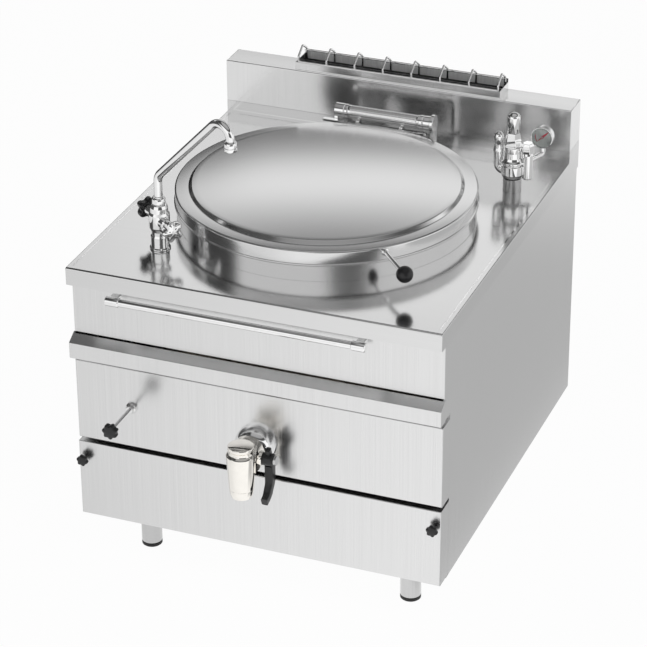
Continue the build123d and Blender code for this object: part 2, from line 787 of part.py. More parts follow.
with BuildPart() as drain_lever:
    grip_top = (lever_x, valve_ball_y, drain_z + grip_rise)
    grip_route = [
        grip_top,
        (lever_x, valve_ball_y + 7, drain_z - grip_drop / 3),
        (lever_x, valve_ball_y + 3, drain_z - 0.8 * grip_drop),
        (lever_x, valve_ball_y - 22, drain_z - grip_drop),
    ]
    with BuildLine() as grip_line:
        Spline(*grip_route)
    grip_start = Plane(origin=grip_top, x_dir=(1, 0, 0), z_dir=grip_line.wire() % 0)
    with BuildSketch(grip_start) as grip_face:
        RectangleRounded(grip_w, grip_t, 4.0)
    sweep(grip_face.sketch, path=grip_line.wire())
    rod((lever_x - grip_w / 2, valve_ball_y, drain_z), (stem_end, valve_ball_y, drain_z), boss_r - 3)
    rod((0, valve_ball_y, drain_z), (stem_end, valve_ball_y, drain_z), stem_bore, Mode.SUBTRACT)
drain_lever.part.label = "drain_lever"

# ---------------------------------------------------------------- level tap
with BuildPart() as level_bush:
    bush_r = level_rod_r + running
    bush_y = middle_panel_y - seat
    turn_y(
        level_x,
        level_z,
        [(bush_y, bush_r), (bush_y, 12.0), (bush_y - 6, 12.0), (bush_y - 14, 8.0), (bush_y - 14, bush_r)],
    )
level_bush.part.label = "level_bush"

with BuildPart() as level_cock:
    cock_half = 14.0
    cock_y = (level_cock_y - cock_half, level_cock_y + cock_half)
    cock_x = (level_x - cock_half, level_x + cock_half)
    block(cock_x, cock_y, (level_z - cock_half, level_z + cock_half))
    rod((level_x, level_cock_y, level_z), (level_x, pan_y - jacket_r / 2, level_z), level_pipe_r)
    rod((0, pan_y, 0), (0, pan_y, worktop_z), jacket_r + 2 * running, Mode.SUBTRACT)
    spindle_hole = (level_x, level_cock_y - 4, level_z)
    rod((level_x, cock_y[0], level_z), spindle_hole, bush_r, Mode.SUBTRACT)
level_cock.part.label = "level_cock"

with BuildPart() as level_spindle:
    spindle_front = (level_x, level_knob_y + level_knob_w / 2, level_z)
    rod((level_x, level_cock_y - 4 - seat, level_z), spindle_front, level_rod_r)
level_spindle.part.label = "level_spindle"

with BuildPart() as level_knob:
    knob_back = (level_x, level_knob_y + level_knob_w / 2, level_z)
    star(Plane(origin=knob_back, x_dir=(1, 0, 0), z_dir=(0, -1, 0)), level_knob_r, 7, level_knob_w)
    fillet(level_knob.edges().group_by(Axis.Y)[0], 2.0)
level_knob.part.label = "level_knob"


def door_knob(side):
    """A star knob with its screw, held captive in the service door."""
    x = side * knob_x
    with BuildPart() as knob:
        back = (x, knob_y + knob_w / 2, knob_z)
        star(Plane(origin=back, x_dir=(1, 0, 0), z_dir=(0, -1, 0)), knob_r, 6, knob_w)
        rod((x, door_y - seat, knob_z), back, knob_r / 2)
        rod((x, return_y + knob_reach, knob_z), (x, door_y - seat, knob_z), knob_shank_r)
    return knob


door_knob_left = door_knob(-1)
door_knob_left.part.label = "door_knob_left"
door_knob_right = door_knob(1)
door_knob_right.part.label = "door_knob_right"

# ---------------------------------------------------------------- lid
skirt_low = collar_z + seat
with BuildPart() as lid_shell:
    with BuildSketch(pan_plane):
        with BuildLine():
            skirt_in = lid_r - sheet
            crown_z = disc_z + lid_crown
            edge_r = step_r - lid_lean
            Line((lid_r, skirt_low), (lid_r, lid_top_z - lid_round))
            RadiusArc((lid_r, lid_top_z - lid_round), (lid_r - lid_round, lid_top_z), -lid_round)
            Polyline((lid_r - lid_round, lid_top_z), (step_r, lid_top_z), (edge_r, disc_z))
            TangentArc((0, crown_z), (edge_r, disc_z), tangent=(1, 0))
            Line((0, crown_z), (0, crown_z - sheet))
            TangentArc((0, crown_z - sheet), (edge_r - sheet, disc_z - sheet), tangent=(1, 0))
            Polyline(
                (edge_r - sheet, disc_z - sheet),
                (step_r - sheet, lid_top_z - sheet),
                (skirt_in, lid_top_z - sheet),
                (skirt_in, skirt_low),
                (lid_r, skirt_low),
            )
        make_face()
    revolve(axis=pan_axis)
lid_shell.part.label = "lid_shell"

with BuildPart() as lid_liner:
    liner_z = collar_z + liner_gap
    liner_r = lid_r - sheet - 2 * running
    turn_z(
        0,
        pan_y,
        [
            (0, liner_z),
            (drip_r - sheet, liner_z),
            (drip_r - sheet, collar_z - drip_h),
            (drip_r, collar_z - drip_h),
            (drip_r, liner_z),
            (liner_r, liner_z),
            (liner_r, liner_z + sheet),
            (0, liner_z + sheet),
        ],
    )
lid_liner.part.label = "lid_liner"

out_x, out_y = math.cos(math.radians(handle_angle)), math.sin(math.radians(handle_angle))
ball_at = (handle_reach * out_x, pan_y + handle_reach * out_y, handle_z)
with BuildPart() as lid_handle:
    root_r = lid_r + 2 * running
    rod_root = ((root_r - 4) * out_x, pan_y + (root_r - 4) * out_y, handle_z + 4)
    rod(rod_root, ball_at, handle_rod_r)
    rod((0, pan_y, 0), (0, pan_y, lid_top_z), root_r, Mode.SUBTRACT)
    with Locations(ball_at):
        Sphere(ball_r - 5, mode=Mode.SUBTRACT)
lid_handle.part.label = "lid_handle"

with BuildPart() as lid_ball:
    with Locations(ball_at):
        Sphere(ball_r)
    rod(rod_root, ball_at, handle_rod_r + running, Mode.SUBTRACT)
    with Locations(ball_at):
        Sphere(ball_r - 5)
lid_ball.part.label = "lid_ball"

# ---------------------------------------------------------------- lid hinge
barrel_x = (left_collar_x[1] + seat, right_collar_x[0] - seat)
pin_bore = pin_r + running
with BuildPart() as hinge_barrel:
    rod((barrel_x[0], hinge_y, hinge_z), (barrel_x[1], hinge_y, hinge_z), barrel_r)
    rod((barrel_x[0], hinge_y, hinge_z), (barrel_x[1], hinge_y, hinge_z), barrel_r - sheet, Mode.SUBTRACT)
    for x0, x1 in ((barrel_x[0], barrel_x[0] + 6), (barrel_x[1] - 6, barrel_x[1])):
        rod((x0, hinge_y, hinge_z), (x1, hinge_y, hinge_z), barrel_r - sheet)
        rod((x0, hinge_y, hinge_z), (x1, hinge_y, hinge_z), pin_bore, Mode.SUBTRACT)
    for x in (-arm_x - arm_w, arm_x - arm_w):
        arm_y = (pan_y + lid_r - arm_in, hinge_y)
        block((x, x + arm_w), arm_y, (lid_top_z - arm_low, hinge_z - barrel_r + 2 * sheet))
        hollow = barrel_r - sheet
        rod((x, hinge_y, hinge_z), (x + arm_w, hinge_y, hinge_z), hollow, Mode.SUBTRACT)
    hinge_plate_z = (lid_top_z - hinge_plate_low, lid_top_z - hinge_plate_low + hinge_plate_t)
    block(hinge_plate_x, (arm_y[0], hinge_y - hinge_plate_gap), hinge_plate_z)
    rod((0, pan_y, 0), (0, pan_y, hinge_z * 2), lid_r + 2 * running, Mode.SUBTRACT)
hinge_barrel.part.label = "hinge_barrel"

with BuildPart() as hinge_bracket_left:
    x0, x1 = left_collar_x
    rod((x0, hinge_y, hinge_z), (x1, hinge_y, hinge_z), collar_end_r)
    block((x0, x0 + leg_t), (hinge_y - leg_w / 2 + 1, hinge_y + leg_w / 2 - 1), (worktop_z, hinge_z))
    foot_span = (hinge_y - leg_w / 2, hinge_y + leg_w / 2)
    block((x0 - 14, x0 + leg_t), foot_span, (worktop_z, worktop_z + hinge_foot))
    rod((x0 + 4, hinge_y, hinge_z), (x1, hinge_y, hinge_z), pin_r, Mode.SUBTRACT)
hinge_bracket_left.part.label = "hinge_bracket_left"

with BuildPart() as hinge_bracket_right:
    x0, x1 = right_collar_x
    rod((x0, hinge_y, hinge_z), (x1, hinge_y, hinge_z), collar_end_r)
    rod((x1, hinge_y, hinge_z), (x1 + disc_w, hinge_y, hinge_z), disc_r)
    block((x1, x1 + disc_w), (hinge_y - leg_w / 2, hinge_y + leg_w / 2), (worktop_z, hinge_z))
    block((x1, x1 + 22), foot_span, (worktop_z, worktop_z + hinge_foot))
    rod((x0, hinge_y, hinge_z), (x1 + 2, hinge_y, hinge_z), pin_r, Mode.SUBTRACT)
hinge_bracket_right.part.label = "hinge_bracket_right"

with BuildPart() as hinge_pin:
    rod((left_collar_x[0] + 4, hinge_y, hinge_z), (right_collar_x[1] + 2, hinge_y, hinge_z), pin_r)
hinge_pin.part.label = "hinge_pin"

with BuildPart() as hinge_spring:
    spring_wire = 1.5
    spring_r = barrel_r - sheet - seat - spring_wire
    spring_x = (barrel_x[0] + 10, barrel_x[1] - 10)
    for i in range(12):
        x = spring_x[0] + (spring_x[1] - spring_x[0]) * i / 11
        with BuildSketch(Plane(origin=(x, hinge_y, hinge_z), x_dir=(1, 0, 0), z_dir=(0, -1, 0))) as wire:
            with Locations((0, spring_r)):
                RegularPolygon(spring_wire, 6)
        revolve(wire.sketch, axis=Axis((0, hinge_y, hinge_z), (1, 0, 0)))
    rod((spring_x[0], hinge_y, hinge_z + spring_r), (spring_x[1], hinge_y, hinge_z + spring_r), 0.8)
hinge_spring.part.label = "hinge_spring"

# ---------------------------------------------------------------- water tap
arm_dir = Vector(math.cos(math.radians(tap_arm_angle)), math.sin(math.radians(tap_arm_angle)), 0)
tap_at = Vector(tap_x, tap_y, 0)


def along_arm(reach):
    """A point on the tap's cross arm, at a distance to the right of its column."""
    point = tap_at + arm_dir * reach
    return (point.X, point.Y, tap_arm_z)


with BuildPart() as tap_body:
    turn_z(
        tap_x,
        tap_y,
        [
            (0, worktop_z),
            (tap_flange_r, worktop_z),
            (tap_flange_r, worktop_z + tap_foot_h[0]),
            (tap_flange_r - 5, worktop_z + tap_foot_h[1]),
            (tap_body_r + 3, worktop_z + tap_foot_h[2]),
            (tap_body_r + 3, worktop_z + tap_foot_h[3]),
            (tap_body_r, worktop_z + tap_foot_h[4]),
            (tap_body_r, tap_arm_z - 20),
            (tap_body_r + 4, tap_arm_z - 12),
            (tap_body_r + 4, tap_arm_z + 12),
            (tap_body_r, tap_arm_z + 20),
            (tap_body_r - 1, tap_neck_z - seat),
            (0, tap_neck_z - seat),
        ],
    )
    rod(along_arm(-tap_knob_reach + tap_knob_w), along_arm(tap_knob_reach - tap_knob_w), tap_arm_r)
    for sx, turn_at, y in ((-1, tail_turn_z[0], inlet_y[0]), (1, tail_turn_z[1], inlet_y[1])):
        x = tap_x + sx * tail_gap / 2
        tail = [(x, tap_y, worktop_z + 1), (x, tap_y, turn_at), (inlet_x, y, turn_at)]
        pipe([*tail, (inlet_x, y, underside_z - 2)], 12.0, tail_r, 0)
        inlet_end(inlet_x, y)
tap_body.part.label = "tap_body"


def tap_knob(side):
    """A lobed tap handle on the end of the cross arm, turning about the arm."""
    near = along_arm(side * (tap_knob_reach - tap_knob_w + seat))
    with BuildPart() as knob:
        star(Plane(origin=near, x_dir=(0, 0, 1), z_dir=arm_dir * side), tap_knob_r, 5, tap_knob_w)
    return knob


tap_knob_left = tap_knob(-1)
tap_knob_left.part.label = "tap_knob_left"
tap_knob_right = tap_knob(1)
tap_knob_right.part.label = "tap_knob_right"

spout_dir = Vector(math.cos(math.radians(spout_angle)), math.sin(math.radians(spout_angle)), 0)


def on_spout(reach, z):
    """A point in the spout's own upright plane, at a distance from the tap's column."""
    point = tap_at + spout_dir * reach
    return (point.X, point.Y, z)


with BuildPart() as tap_spout:
    spout_top = spout_bend_z + spout_reach
    route = [
        on_spout(0, tap_neck_z + 12),
        on_spout(0, spout_bend_z),
        on_spout(spout_reach, spout_top),
        on_spout(spout_reach, aerator_top_z),
    ]
    pipe(route, [spout_bend_r, hook_r], spout_r, spout_r - spout_wall)
    turn_z(
        tap_x,
        tap_y,
        [
            (0, tap_neck_z),
            (tap_body_r - 1, tap_neck_z),
            (tap_body_r, tap_neck_z + 2),
            (tap_body_r, tap_neck_z + 12),
            (spout_r + 1.5, tap_neck_z + 16),
            (spout_r, tap_neck_z + 16),
            (spout_r, tap_neck_z + 12),
            (0, tap_neck_z + 12),
        ],
    )
tap_spout.part.label = "tap_spout"

with BuildPart() as aerator:
    tip = on_spout(spout_reach, 0)
    low_z = aerator_top_z - aerator_h
    turn_z(
        tip[0],
        tip[1],
        [
            (spout_r - spout_wall, low_z),
            (aerator_r - 2, low_z),
            (aerator_r, low_z + 3),
            (aerator_r, aerator_top_z - seat - 4),
            (aerator_r - 3, aerator_top_z - seat),
            (spout_r - spout_wall, aerator_top_z - seat),
        ],
    )
aerator.part.label = "aerator"

# ---------------------------------------------------------------- safety group
with BuildPart() as safety_body:
    turn_z(
        group_x,
        group_y,
        [
            (0, group_body_z),
            (group_r - 7, group_body_z),
            (group_r - 1, group_body_z + 6),
            (group_r - 0.5, group_ring_z - 3),
            (group_r + 0.5, group_ring_z),
            (group_r + 0.5, group_ring_z + 4),
            (group_r - 3, group_ring_z + 7),
            (group_r - 4, group_cone_z),
            (0, group_cone_z),
        ],
    )
    right_end = (fill_x, group_y, group_ring_z)
    rod((group_x, group_y, group_ring_z), right_end, fill_r)
    rod((fill_x, group_y, group_body_z), (fill_x, group_y, fill_top_z), fill_r)
    elbow = [
        (breaker_x, group_y, breaker_base_z),
        (breaker_x, group_y, group_body_z + 14),
        (group_x - 12, group_y, group_body_z + 10),
    ]
    pipe(elbow, 12.0, breaker_r - 1, 0)
    with BuildSketch(Plane.XY.offset(group_cone_z)) as hex_low:
        with Locations((group_x, group_y)):
            RegularPolygon(group_r - 4, 6)
    with BuildSketch(Plane.XY.offset(group_cap_z)) as hex_high:
        with Locations((group_x, group_y)):
            RegularPolygon(cap_r + 0.5, 6)
    loft([hex_low.sketch, hex_high.sketch])
    guide_r = cap_r / 2 + running
    rod((group_x, group_y, group_cone_z), (group_x, group_y, group_cap_z), guide_r, Mode.SUBTRACT)
    gauge_foot = (gauge_x, gauge_y, gauge_z - gauge_r - seat)
    elbow_at = (gauge_x, gauge_y, gauge_pipe_z)
    pipe([(fill_x, group_y, gauge_pipe_z), elbow_at, gauge_foot], 11.0, gauge_pipe_r, 0)
safety_body.part.label = "safety_body"

with BuildPart() as vacuum_breaker:
    base_z = breaker_base_z + seat
    turn_z(
        breaker_x,
        group_y,
        [
            (0, base_z),
            (breaker_r, base_z),
            (breaker_r, base_z + 4),
            (breaker_r - 1.5, base_z + 7),
            (breaker_r - 1.5, base_z + 22),
            (breaker_r, base_z + 24),
            (breaker_r, breaker_top_z - 8),
            (breaker_r - 3, breaker_top_z - 2),
            (0, breaker_top_z),
        ],
    )
vacuum_breaker.part.label = "vacuum_breaker"

with BuildPart() as safety_cap:
    cap_low = group_cap_z + seat
    turn_z(
        group_x,
        group_y,
        [
            (0, group_cone_z + 1),
            (cap_r / 2, group_cone_z + 1),
            (cap_r / 2, cap_low),
            (cap_r, cap_low),
            (cap_r, group_top_z - 9),
            (cap_r - 3, group_top_z - 3.5),
            (cap_r - 8, group_top_z - 0.5),
            (0, group_top_z),
        ],
    )
safety_cap.part.label = "safety_cap"

with BuildPart() as fill_cap:
    with BuildSketch(Plane.XY.offset(fill_top_z + seat)) as hexagon:
        with Locations((fill_x, group_y)):
            RegularPolygon(fill_cap_r, 6)
    extrude(hexagon.sketch, amount=fill_cap_h)
    chamfer(fill_cap.edges().group_by(Axis.Z)[-1], 2.0)
fill_cap.part.label = "fill_cap"

gauge_front = gauge_y - gauge_depth / 2
gauge_back = gauge_y + gauge_depth / 2
bezel = 2.0
dial_in = 6.0
with BuildPart() as gauge_case:
    turn_y(
        gauge_x,
        gauge_z,
        [
            (gauge_front, gauge_r - bezel),
            (gauge_front, gauge_r),
            (gauge_front + 4, gauge_r),
            (gauge_front + 5, gauge_r - 1),
            (gauge_back - 3, gauge_r - 1),
            (gauge_back, gauge_r - 4),
            (gauge_back, 0),
            (gauge_front + dial_in + 1, 0),
            (gauge_front + dial_in + 1, gauge_r - bezel),
        ],
    )
gauge_case.part.label = "gauge_case"

with BuildPart() as gauge_dial:
    dial = (gauge_front + dial_in, gauge_front + dial_in + 1)
    dial_r = gauge_r - bezel - 2 * running
    rod((gauge_x, dial[0], gauge_z), (gauge_x, dial[1], gauge_z), dial_r)
    rod((gauge_x, gauge_front + 2.6, gauge_z), (gauge_x, dial[0], gauge_z), 1.2)
gauge_dial.part.label = "gauge_dial"

with BuildPart() as gauge_needle:
    needle_plane = Plane(origin=(gauge_x, dial[0] - seat, gauge_z), x_dir=(1, 0, 0), z_dir=(0, -1, 0))
    with BuildSketch(needle_plane) as needle_face:
        with BuildLine():
            tail_end = ((-9, -8), (-8, -9), (-1, -3), (3, -1))
            Polyline(*tail_end, (14, 12.5), (12.5, 14), (-1, 3), (-3, -1), close=True)
        make_face()
        Circle(3.0)
        Circle(1.2 + running, mode=Mode.SUBTRACT)
    extrude(needle_face.sketch, amount=0.8)
gauge_needle.part.label = "gauge_needle"

with BuildPart() as gauge_glass:
    rod((gauge_x, gauge_front + 1, gauge_z), (gauge_x, gauge_front + 2.2, gauge_z), dial_r)
gauge_glass.part.label = "gauge_glass"

# ---------------------------------------------------------------- files
pieces = [
    worktop, flue_box, flue_riser, flue_guard, side_panel_left, side_panel_right, rear_panel,
    front_panel_upper, front_panel_middle, service_door, bottom_pan, base_frame, leg_sleeves,
    *feet.values(), front_rail, rail_brackets, pan, jacket, steam_pipe, insulation, fire_box,
    flue_duct, burner, gas_valve, drain_flange, drain_body, drain_outlet,
    drain_ball, drain_lever, level_bush, level_cock, level_spindle, level_knob, door_knob_left,
    door_knob_right, lid_shell, lid_liner, lid_handle, lid_ball, hinge_barrel,
    hinge_bracket_left, hinge_bracket_right, hinge_pin, hinge_spring, tap_body,
    tap_knob_left, tap_knob_right, tap_spout, aerator, safety_body, vacuum_breaker, 
    safety_cap, fill_cap, gauge_case, gauge_dial, gauge_needle, gauge_glass,
]
for piece in pieces:
    export_step(piece.part, f"parts/{piece.part.label}.step")
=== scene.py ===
"""Finishes, fine parts, floor, light and camera for a gas-fired steam jacketed kettle."""
import json
import math

import bmesh
import bpy
from mathutils import Matrix, Vector


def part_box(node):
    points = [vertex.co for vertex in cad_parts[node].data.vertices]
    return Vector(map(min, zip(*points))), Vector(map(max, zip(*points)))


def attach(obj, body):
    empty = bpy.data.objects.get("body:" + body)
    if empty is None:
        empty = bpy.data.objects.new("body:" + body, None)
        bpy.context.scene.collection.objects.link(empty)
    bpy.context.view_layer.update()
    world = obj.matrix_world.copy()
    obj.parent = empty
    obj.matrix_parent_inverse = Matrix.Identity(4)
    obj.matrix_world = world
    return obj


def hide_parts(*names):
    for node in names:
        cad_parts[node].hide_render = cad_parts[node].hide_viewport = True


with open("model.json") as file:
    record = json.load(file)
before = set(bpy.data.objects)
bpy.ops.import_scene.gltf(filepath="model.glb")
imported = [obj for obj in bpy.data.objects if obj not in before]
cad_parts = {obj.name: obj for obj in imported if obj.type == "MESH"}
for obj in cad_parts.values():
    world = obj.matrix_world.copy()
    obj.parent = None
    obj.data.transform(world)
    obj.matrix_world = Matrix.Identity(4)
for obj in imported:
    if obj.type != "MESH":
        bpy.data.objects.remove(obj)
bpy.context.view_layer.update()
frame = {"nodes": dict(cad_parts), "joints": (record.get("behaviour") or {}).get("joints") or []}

METRE = 1000.0
FULL_TURN = 2 * math.pi
NEARLY_STRAIGHT = 1.5
X, Y, Z = Vector((1, 0, 0)), Vector((0, 1, 0)), Vector((0, 0, 1))


# ---------------------------------------------------------------- shapes, in millimetres
def corners(node):
    """The lowest and highest corners of a solid."""
    low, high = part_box(node)
    return low * METRE, high * METRE


def middle(node):
    """The centre of a solid's box."""
    low, high = corners(node)
    return (low + high) / 2


def pivot(joint):
    """A point on a joint's axis."""
    return Vector(next(j["pos_m"] for j in frame["joints"] if j["name"] == joint)) * METRE


def oblong(left, low, right, high):
    """The four corners of an upright rectangle."""
    return [(left, low), (right, low), (right, high), (left, high)]


def dome(radius, height, foot, steps, hole=0.0):
    """The side of a dome for a turned outline, from above its foot to its top."""
    turns = [math.pi / 2 * i / steps for i in range(1, steps + 1)]
    return [(hole + (radius - hole) * math.cos(t), foot + height * math.sin(t)) for t in turns]


def circle(radius, count=20):
    """Points round a circle, for the section of a bar."""
    turns = [FULL_TURN * i / count for i in range(count)]
    return [(radius * math.cos(t), radius * math.sin(t)) for t in turns]


def rounded(points, radius, closed=False, steps=5):
    """A line's points with each corner turned into an arc; one radius, or one for each point."""
    points = [Vector(p) for p in points]
    line = []
    for i, corner in enumerate(points):
        bend = radius[i] if isinstance(radius, (list, tuple)) else radius
        if bend == 0 or (not closed and i in (0, len(points) - 1)):
            line.append(corner)
            continue
        back, ahead = points[i - 1] - corner, points[(i + 1) % len(points)] - corner
        half = back.angle(ahead) / 2
        if half > NEARLY_STRAIGHT:
            line.append(corner)
            continue
        room = 0.99 if isinstance(radius, (list, tuple)) else 0.48
        reach = min(bend / math.tan(half), room * back.length, room * ahead.length)
        bend = reach * math.tan(half)
        back, ahead = back.normalized(), ahead.normalized()
        centre = corner + (back + ahead).normalized() * bend / math.sin(half)
        first, last = corner + back * reach - centre, corner + ahead * reach - centre
        sweep = math.pi - 2 * half
        for step in range(steps + 1):
            t = sweep * step / steps
            line.append(centre + (first * math.sin(sweep - t) + last * math.sin(t)) / math.sin(sweep))
    return line


class Shape:
    """A surface being made, in millimetres."""

    def __init__(self):
        self.mesh = bmesh.new()

    def join(self, one, two):
        """Fills between two rings of corners, either of which may be a single point."""
        count = max(len(one), len(two))
        for i in range(count):
            ahead = (i + 1) % count
            face = [one[0], two[i], two[ahead]] if len(one) == 1 else [one[i], one[ahead]]
            if len(one) > 1:
                face += [two[0]] if len(two) == 1 else [two[ahead], two[i]]
            self.mesh.faces.new(face)

    def skin(self, rings, closed=False):
        """Stretches a surface over rings of points, with its ends filled."""
        made = [[self.mesh.verts.new(point) for point in ring] for ring in rings]
        if closed:
            made.append(made[0])
        for one, two in zip(made, made[1:]):
            self.join(one, two)
        for end in ([] if closed else [made[0], made[-1]]):
            if len(end) > 2:
                self.mesh.faces.new(end)
        return self

    def turn(self, outline, at, axis=Z, count=64, closed=False, lobes=0, depth=0.0):
        """Turns an outline of (radius, distance along the axis) about an axis through a point."""
        across = axis.orthogonal().normalized()
        if abs(axis.dot(Z)) > 0.99:
            across = X
        up = axis.cross(across)
        rings = []
        for radius, along in outline:
            centre = Vector(at) + axis * along
            if radius < 0.001:
                rings.append([centre])
                continue
            ring = []
            for i in range(count):
                t = FULL_TURN * i / count
                r = radius * (1 - depth * (0.5 - 0.5 * math.cos(lobes * t)))
                ring.append(centre + across * (r * math.cos(t)) + up * (r * math.sin(t)))
            rings.append(ring)
        return self.skin(rings, closed)

    def sweep(self, path, section, side=None, scale=None):
        """Carries a section of (side, up) points along a path."""
        path = [Vector(p) for p in path]
        last = len(path) - 1
        rings = []
        for i, point in enumerate(path):
            way = (path[min(i + 1, last)] - path[max(i - 1, 0)]).normalized()
            side = (way.orthogonal() if side is None else side - way * side.dot(way)).normalized()
            up = way.cross(side)
            size = scale[i] if scale else 1.0
            rings.append([point + side * (a * size) + up * (b * size) for a, b in section])
        return self.skin(rings)

    def slab(self, outline, at, across, up, thick):
        """Gives an outline of (across, up) points a thickness."""
        at, across, up = Vector(at), Vector(across), Vector(up)
        through = across.cross(up).normalized() * thick
        near = [at + across * a + up * b for a, b in outline]
        return self.skin([near, [point + through for point in near]])

    def piece(self, name, finish, body, *stands_for, bevel=0.0, crease=32):
        """Makes the surface a named piece of the kettle, riding on a body."""
        bmesh.ops.recalc_face_normals(self.mesh, faces=self.mesh.faces)
        bmesh.ops.scale(self.mesh, vec=(1 / METRE,) * 3, verts=self.mesh.verts)
        mesh = bpy.data.meshes.new(name)
        self.mesh.to_mesh(mesh)
        self.mesh.free()
        piece = bpy.data.objects.new(name, mesh)
        bpy.context.scene.collection.objects.link(piece)
        mesh.materials.append(finish.material)
        soften(piece, bevel, crease)
        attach(piece, body)
        if stands_for:
            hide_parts(*stands_for)


def soften(piece, bevel, crease):
    """Shades a piece smooth up to its real edges, and rounds those where a width is given."""
    piece.data.polygons.foreach_set("use_smooth", [True] * len(piece.data.polygons))
    if bevel:
        round_off = piece.modifiers.new("edges", "BEVEL")
        round_off.width = bevel / METRE
        round_off.segments = 3
        round_off.limit_method = "ANGLE"
        round_off.angle_limit = math.radians(crease)
        round_off.harden_normals = True
    else:
        piece.data.set_sharp_from_angle(angle=math.radians(crease))


def dress(finish, *nodes, bevel=0.0):
    """Gives solids that keep their own shape a finish and softly broken edges."""
    for name in nodes:
        node = frame["nodes"][name]
        node.data.materials.clear()
        node.data.materials.append(finish.material)
        node.data.polygons.foreach_set("material_index", [0] * len(node.data.polygons))
        if bevel:
            weld = node.modifiers.new("weld", "WELD")
            weld.merge_threshold = 0.005 / METRE
            flat = node.modifiers.new("flat faces", "DECIMATE")
            flat.decimate_type = "DISSOLVE"
            flat.angle_limit = math.radians(1)
            round_off = node.modifiers.new("edges", "BEVEL")
            round_off.width = bevel / METRE
            round_off.segments = 2
            round_off.limit_method = "ANGLE"
            round_off.angle_limit = math.radians(40)
            round_off.harden_normals = True


# ---------------------------------------------------------------- finishes
class Value:
    """A socket of a finish. Sums and products of values add the nodes they need."""

    def __init__(self, finish, socket):
        self.finish = finish
        self.socket = socket

    def maths(self, operation, left, right):
        return self.finish.node("Math", {"operation": operation}, {0: left, 1: right})

    def __add__(self, other):
        return self.maths("ADD", self, other)

    def __sub__(self, other):
        return self.maths("SUBTRACT", self, other)

    def __mul__(self, other):
        return self.maths("MULTIPLY", self, other)

    def __rsub__(self, other):
        return self.maths("SUBTRACT", other, self)

    __radd__ = __add__
    __rmul__ = __mul__

    def clear_of(self, low, high):
        """0 below the low value, 1 above the high one, and smooth between."""
        limits = {"Value": self, "From Min": low, "From Max": high}
        return self.finish.node("MapRange", {"interpolation_type": "SMOOTHSTEP"}, limits)


class Nodes:
    """The node tree of a finish, of the floor or of the surroundings."""

    def __init__(self, holder):
        holder.use_nodes = True
        self.nodes = holder.node_tree.nodes
        self.links = holder.node_tree.links

    def node(self, kind, settings=None, sockets=None, output=0):
        """Adds a node: first its settings, then the values or links of its sockets."""
        made = self.nodes.new("ShaderNode" + kind)
        for name, setting in (settings or {}).items():
            if name == "stops":
                for spare in list(made.color_ramp.elements)[1:]:
                    made.color_ramp.elements.remove(spare)
                made.color_ramp.elements[0].position = setting[0][0]
                made.color_ramp.elements[0].color = grey(setting[0][1])
                for place, tone in setting[1:]:
                    made.color_ramp.elements.new(place).color = grey(tone)
            else:
                setattr(made, name, setting)
        for name, given in (sockets or {}).items():
            self.feed(made.inputs[name], given)
        return Value(self, made.outputs[output])

    def feed(self, socket, given):
        if isinstance(given, Value):
            self.links.new(given.socket, socket)
        else:
            socket.default_value = given

    def vector(self, operation, one, two):
        return self.node("VectorMath", {"operation": operation}, {0: one, 1: two})

    def mix(self, share, one, two):
        """A blend of two colours."""
        return self.node("Mix", {"data_type": "RGBA"}, {0: share, 6: one, 7: two}, 2)


def socket_name(name):
    """The shader's own name for one of its sockets."""
    return "IOR" if name == "ior" else name.replace("_", " ").title()


def grey(tone):
    return tone if isinstance(tone, tuple) else (tone, tone, tone, 1)


class Finish(Nodes):
    """One material of the kettle, named after the slot that it fills."""

    def __init__(self, slot, **constants):
        self.slot = slot
        self.material = bpy.data.materials.new(slot)
        super().__init__(self.material)
        self.shader = self.nodes["Principled BSDF"]
        for name, value in constants.items():
            self.shader.inputs[socket_name(name)].default_value = value
        self.place = self.node("TexCoord", output=3)

    def noise(self, scale, detail=2.0):
        """Mottling whose grains are one over the scale long, in metres, along each direction."""
        spot = self.vector("MULTIPLY", self.place, scale)
        return self.node("TexNoise", {}, {"Vector": spot, "Scale": 1.0, "Detail": detail})

    def paint(self, **sockets):
        for name, given in sockets.items():
            self.feed(self.shader.inputs[socket_name(name)], given)

    def bump(self, height, strength, distance):
        """Raises the surface by a height from 0 to 1 times the distance in metres."""
        raised = {"Strength": strength, "Distance": distance, "Height": height}
        self.feed(self.shader.inputs["Normal"], self.node("Bump", {}, raised))


def brushed(slot, tone, rough, grain, streaks, anisotropic=0.0, turned=0.0, contrast=0.05):
    """Satin stainless steel with its grain stretched along one direction."""
    finish = Finish(slot, metallic=1.0, anisotropic=anisotropic, anisotropic_rotation=turned)
    fine = finish.noise(grain, 3.0)
    broad = finish.noise(streaks, 2.0)
    cloud = finish.noise((2.5, 2.5, 2.5), 1.0)
    shade = (fine * 0.6 + broad * 0.4).clear_of(0.3, 0.7)
    dark, light = grey(tone * (1 - contrast)), grey(min(1, tone * (1 + contrast)))
    finish.paint(base_color=finish.mix(shade, dark, light))
    finish.paint(roughness=rough + (fine - 0.5) * 0.05 + (cloud - 0.5) * 0.03)
    finish.bump(fine, 0.06, 0.00005)
    return finish


def polished(slot, tone, rough, tint=(1, 1, 1)):
    """Plated or polished metal: bright, with the faint unevenness left by the buffing wheel."""
    finish = Finish(slot, metallic=1.0)
    buff = finish.noise((70.0, 70.0, 70.0), 2.0)
    haze = finish.noise((260.0, 260.0, 260.0), 3.0)
    dark = tuple(tone * 0.94 * c for c in tint) + (1,)
    light = tuple(min(1, tone * 1.04) * c for c in tint) + (1,)
    finish.paint(base_color=finish.mix(buff, dark, light))
    finish.paint(roughness=rough + (haze - 0.5) * rough * 0.6)
    finish.bump(buff, 0.02, 0.0004)
    return finish


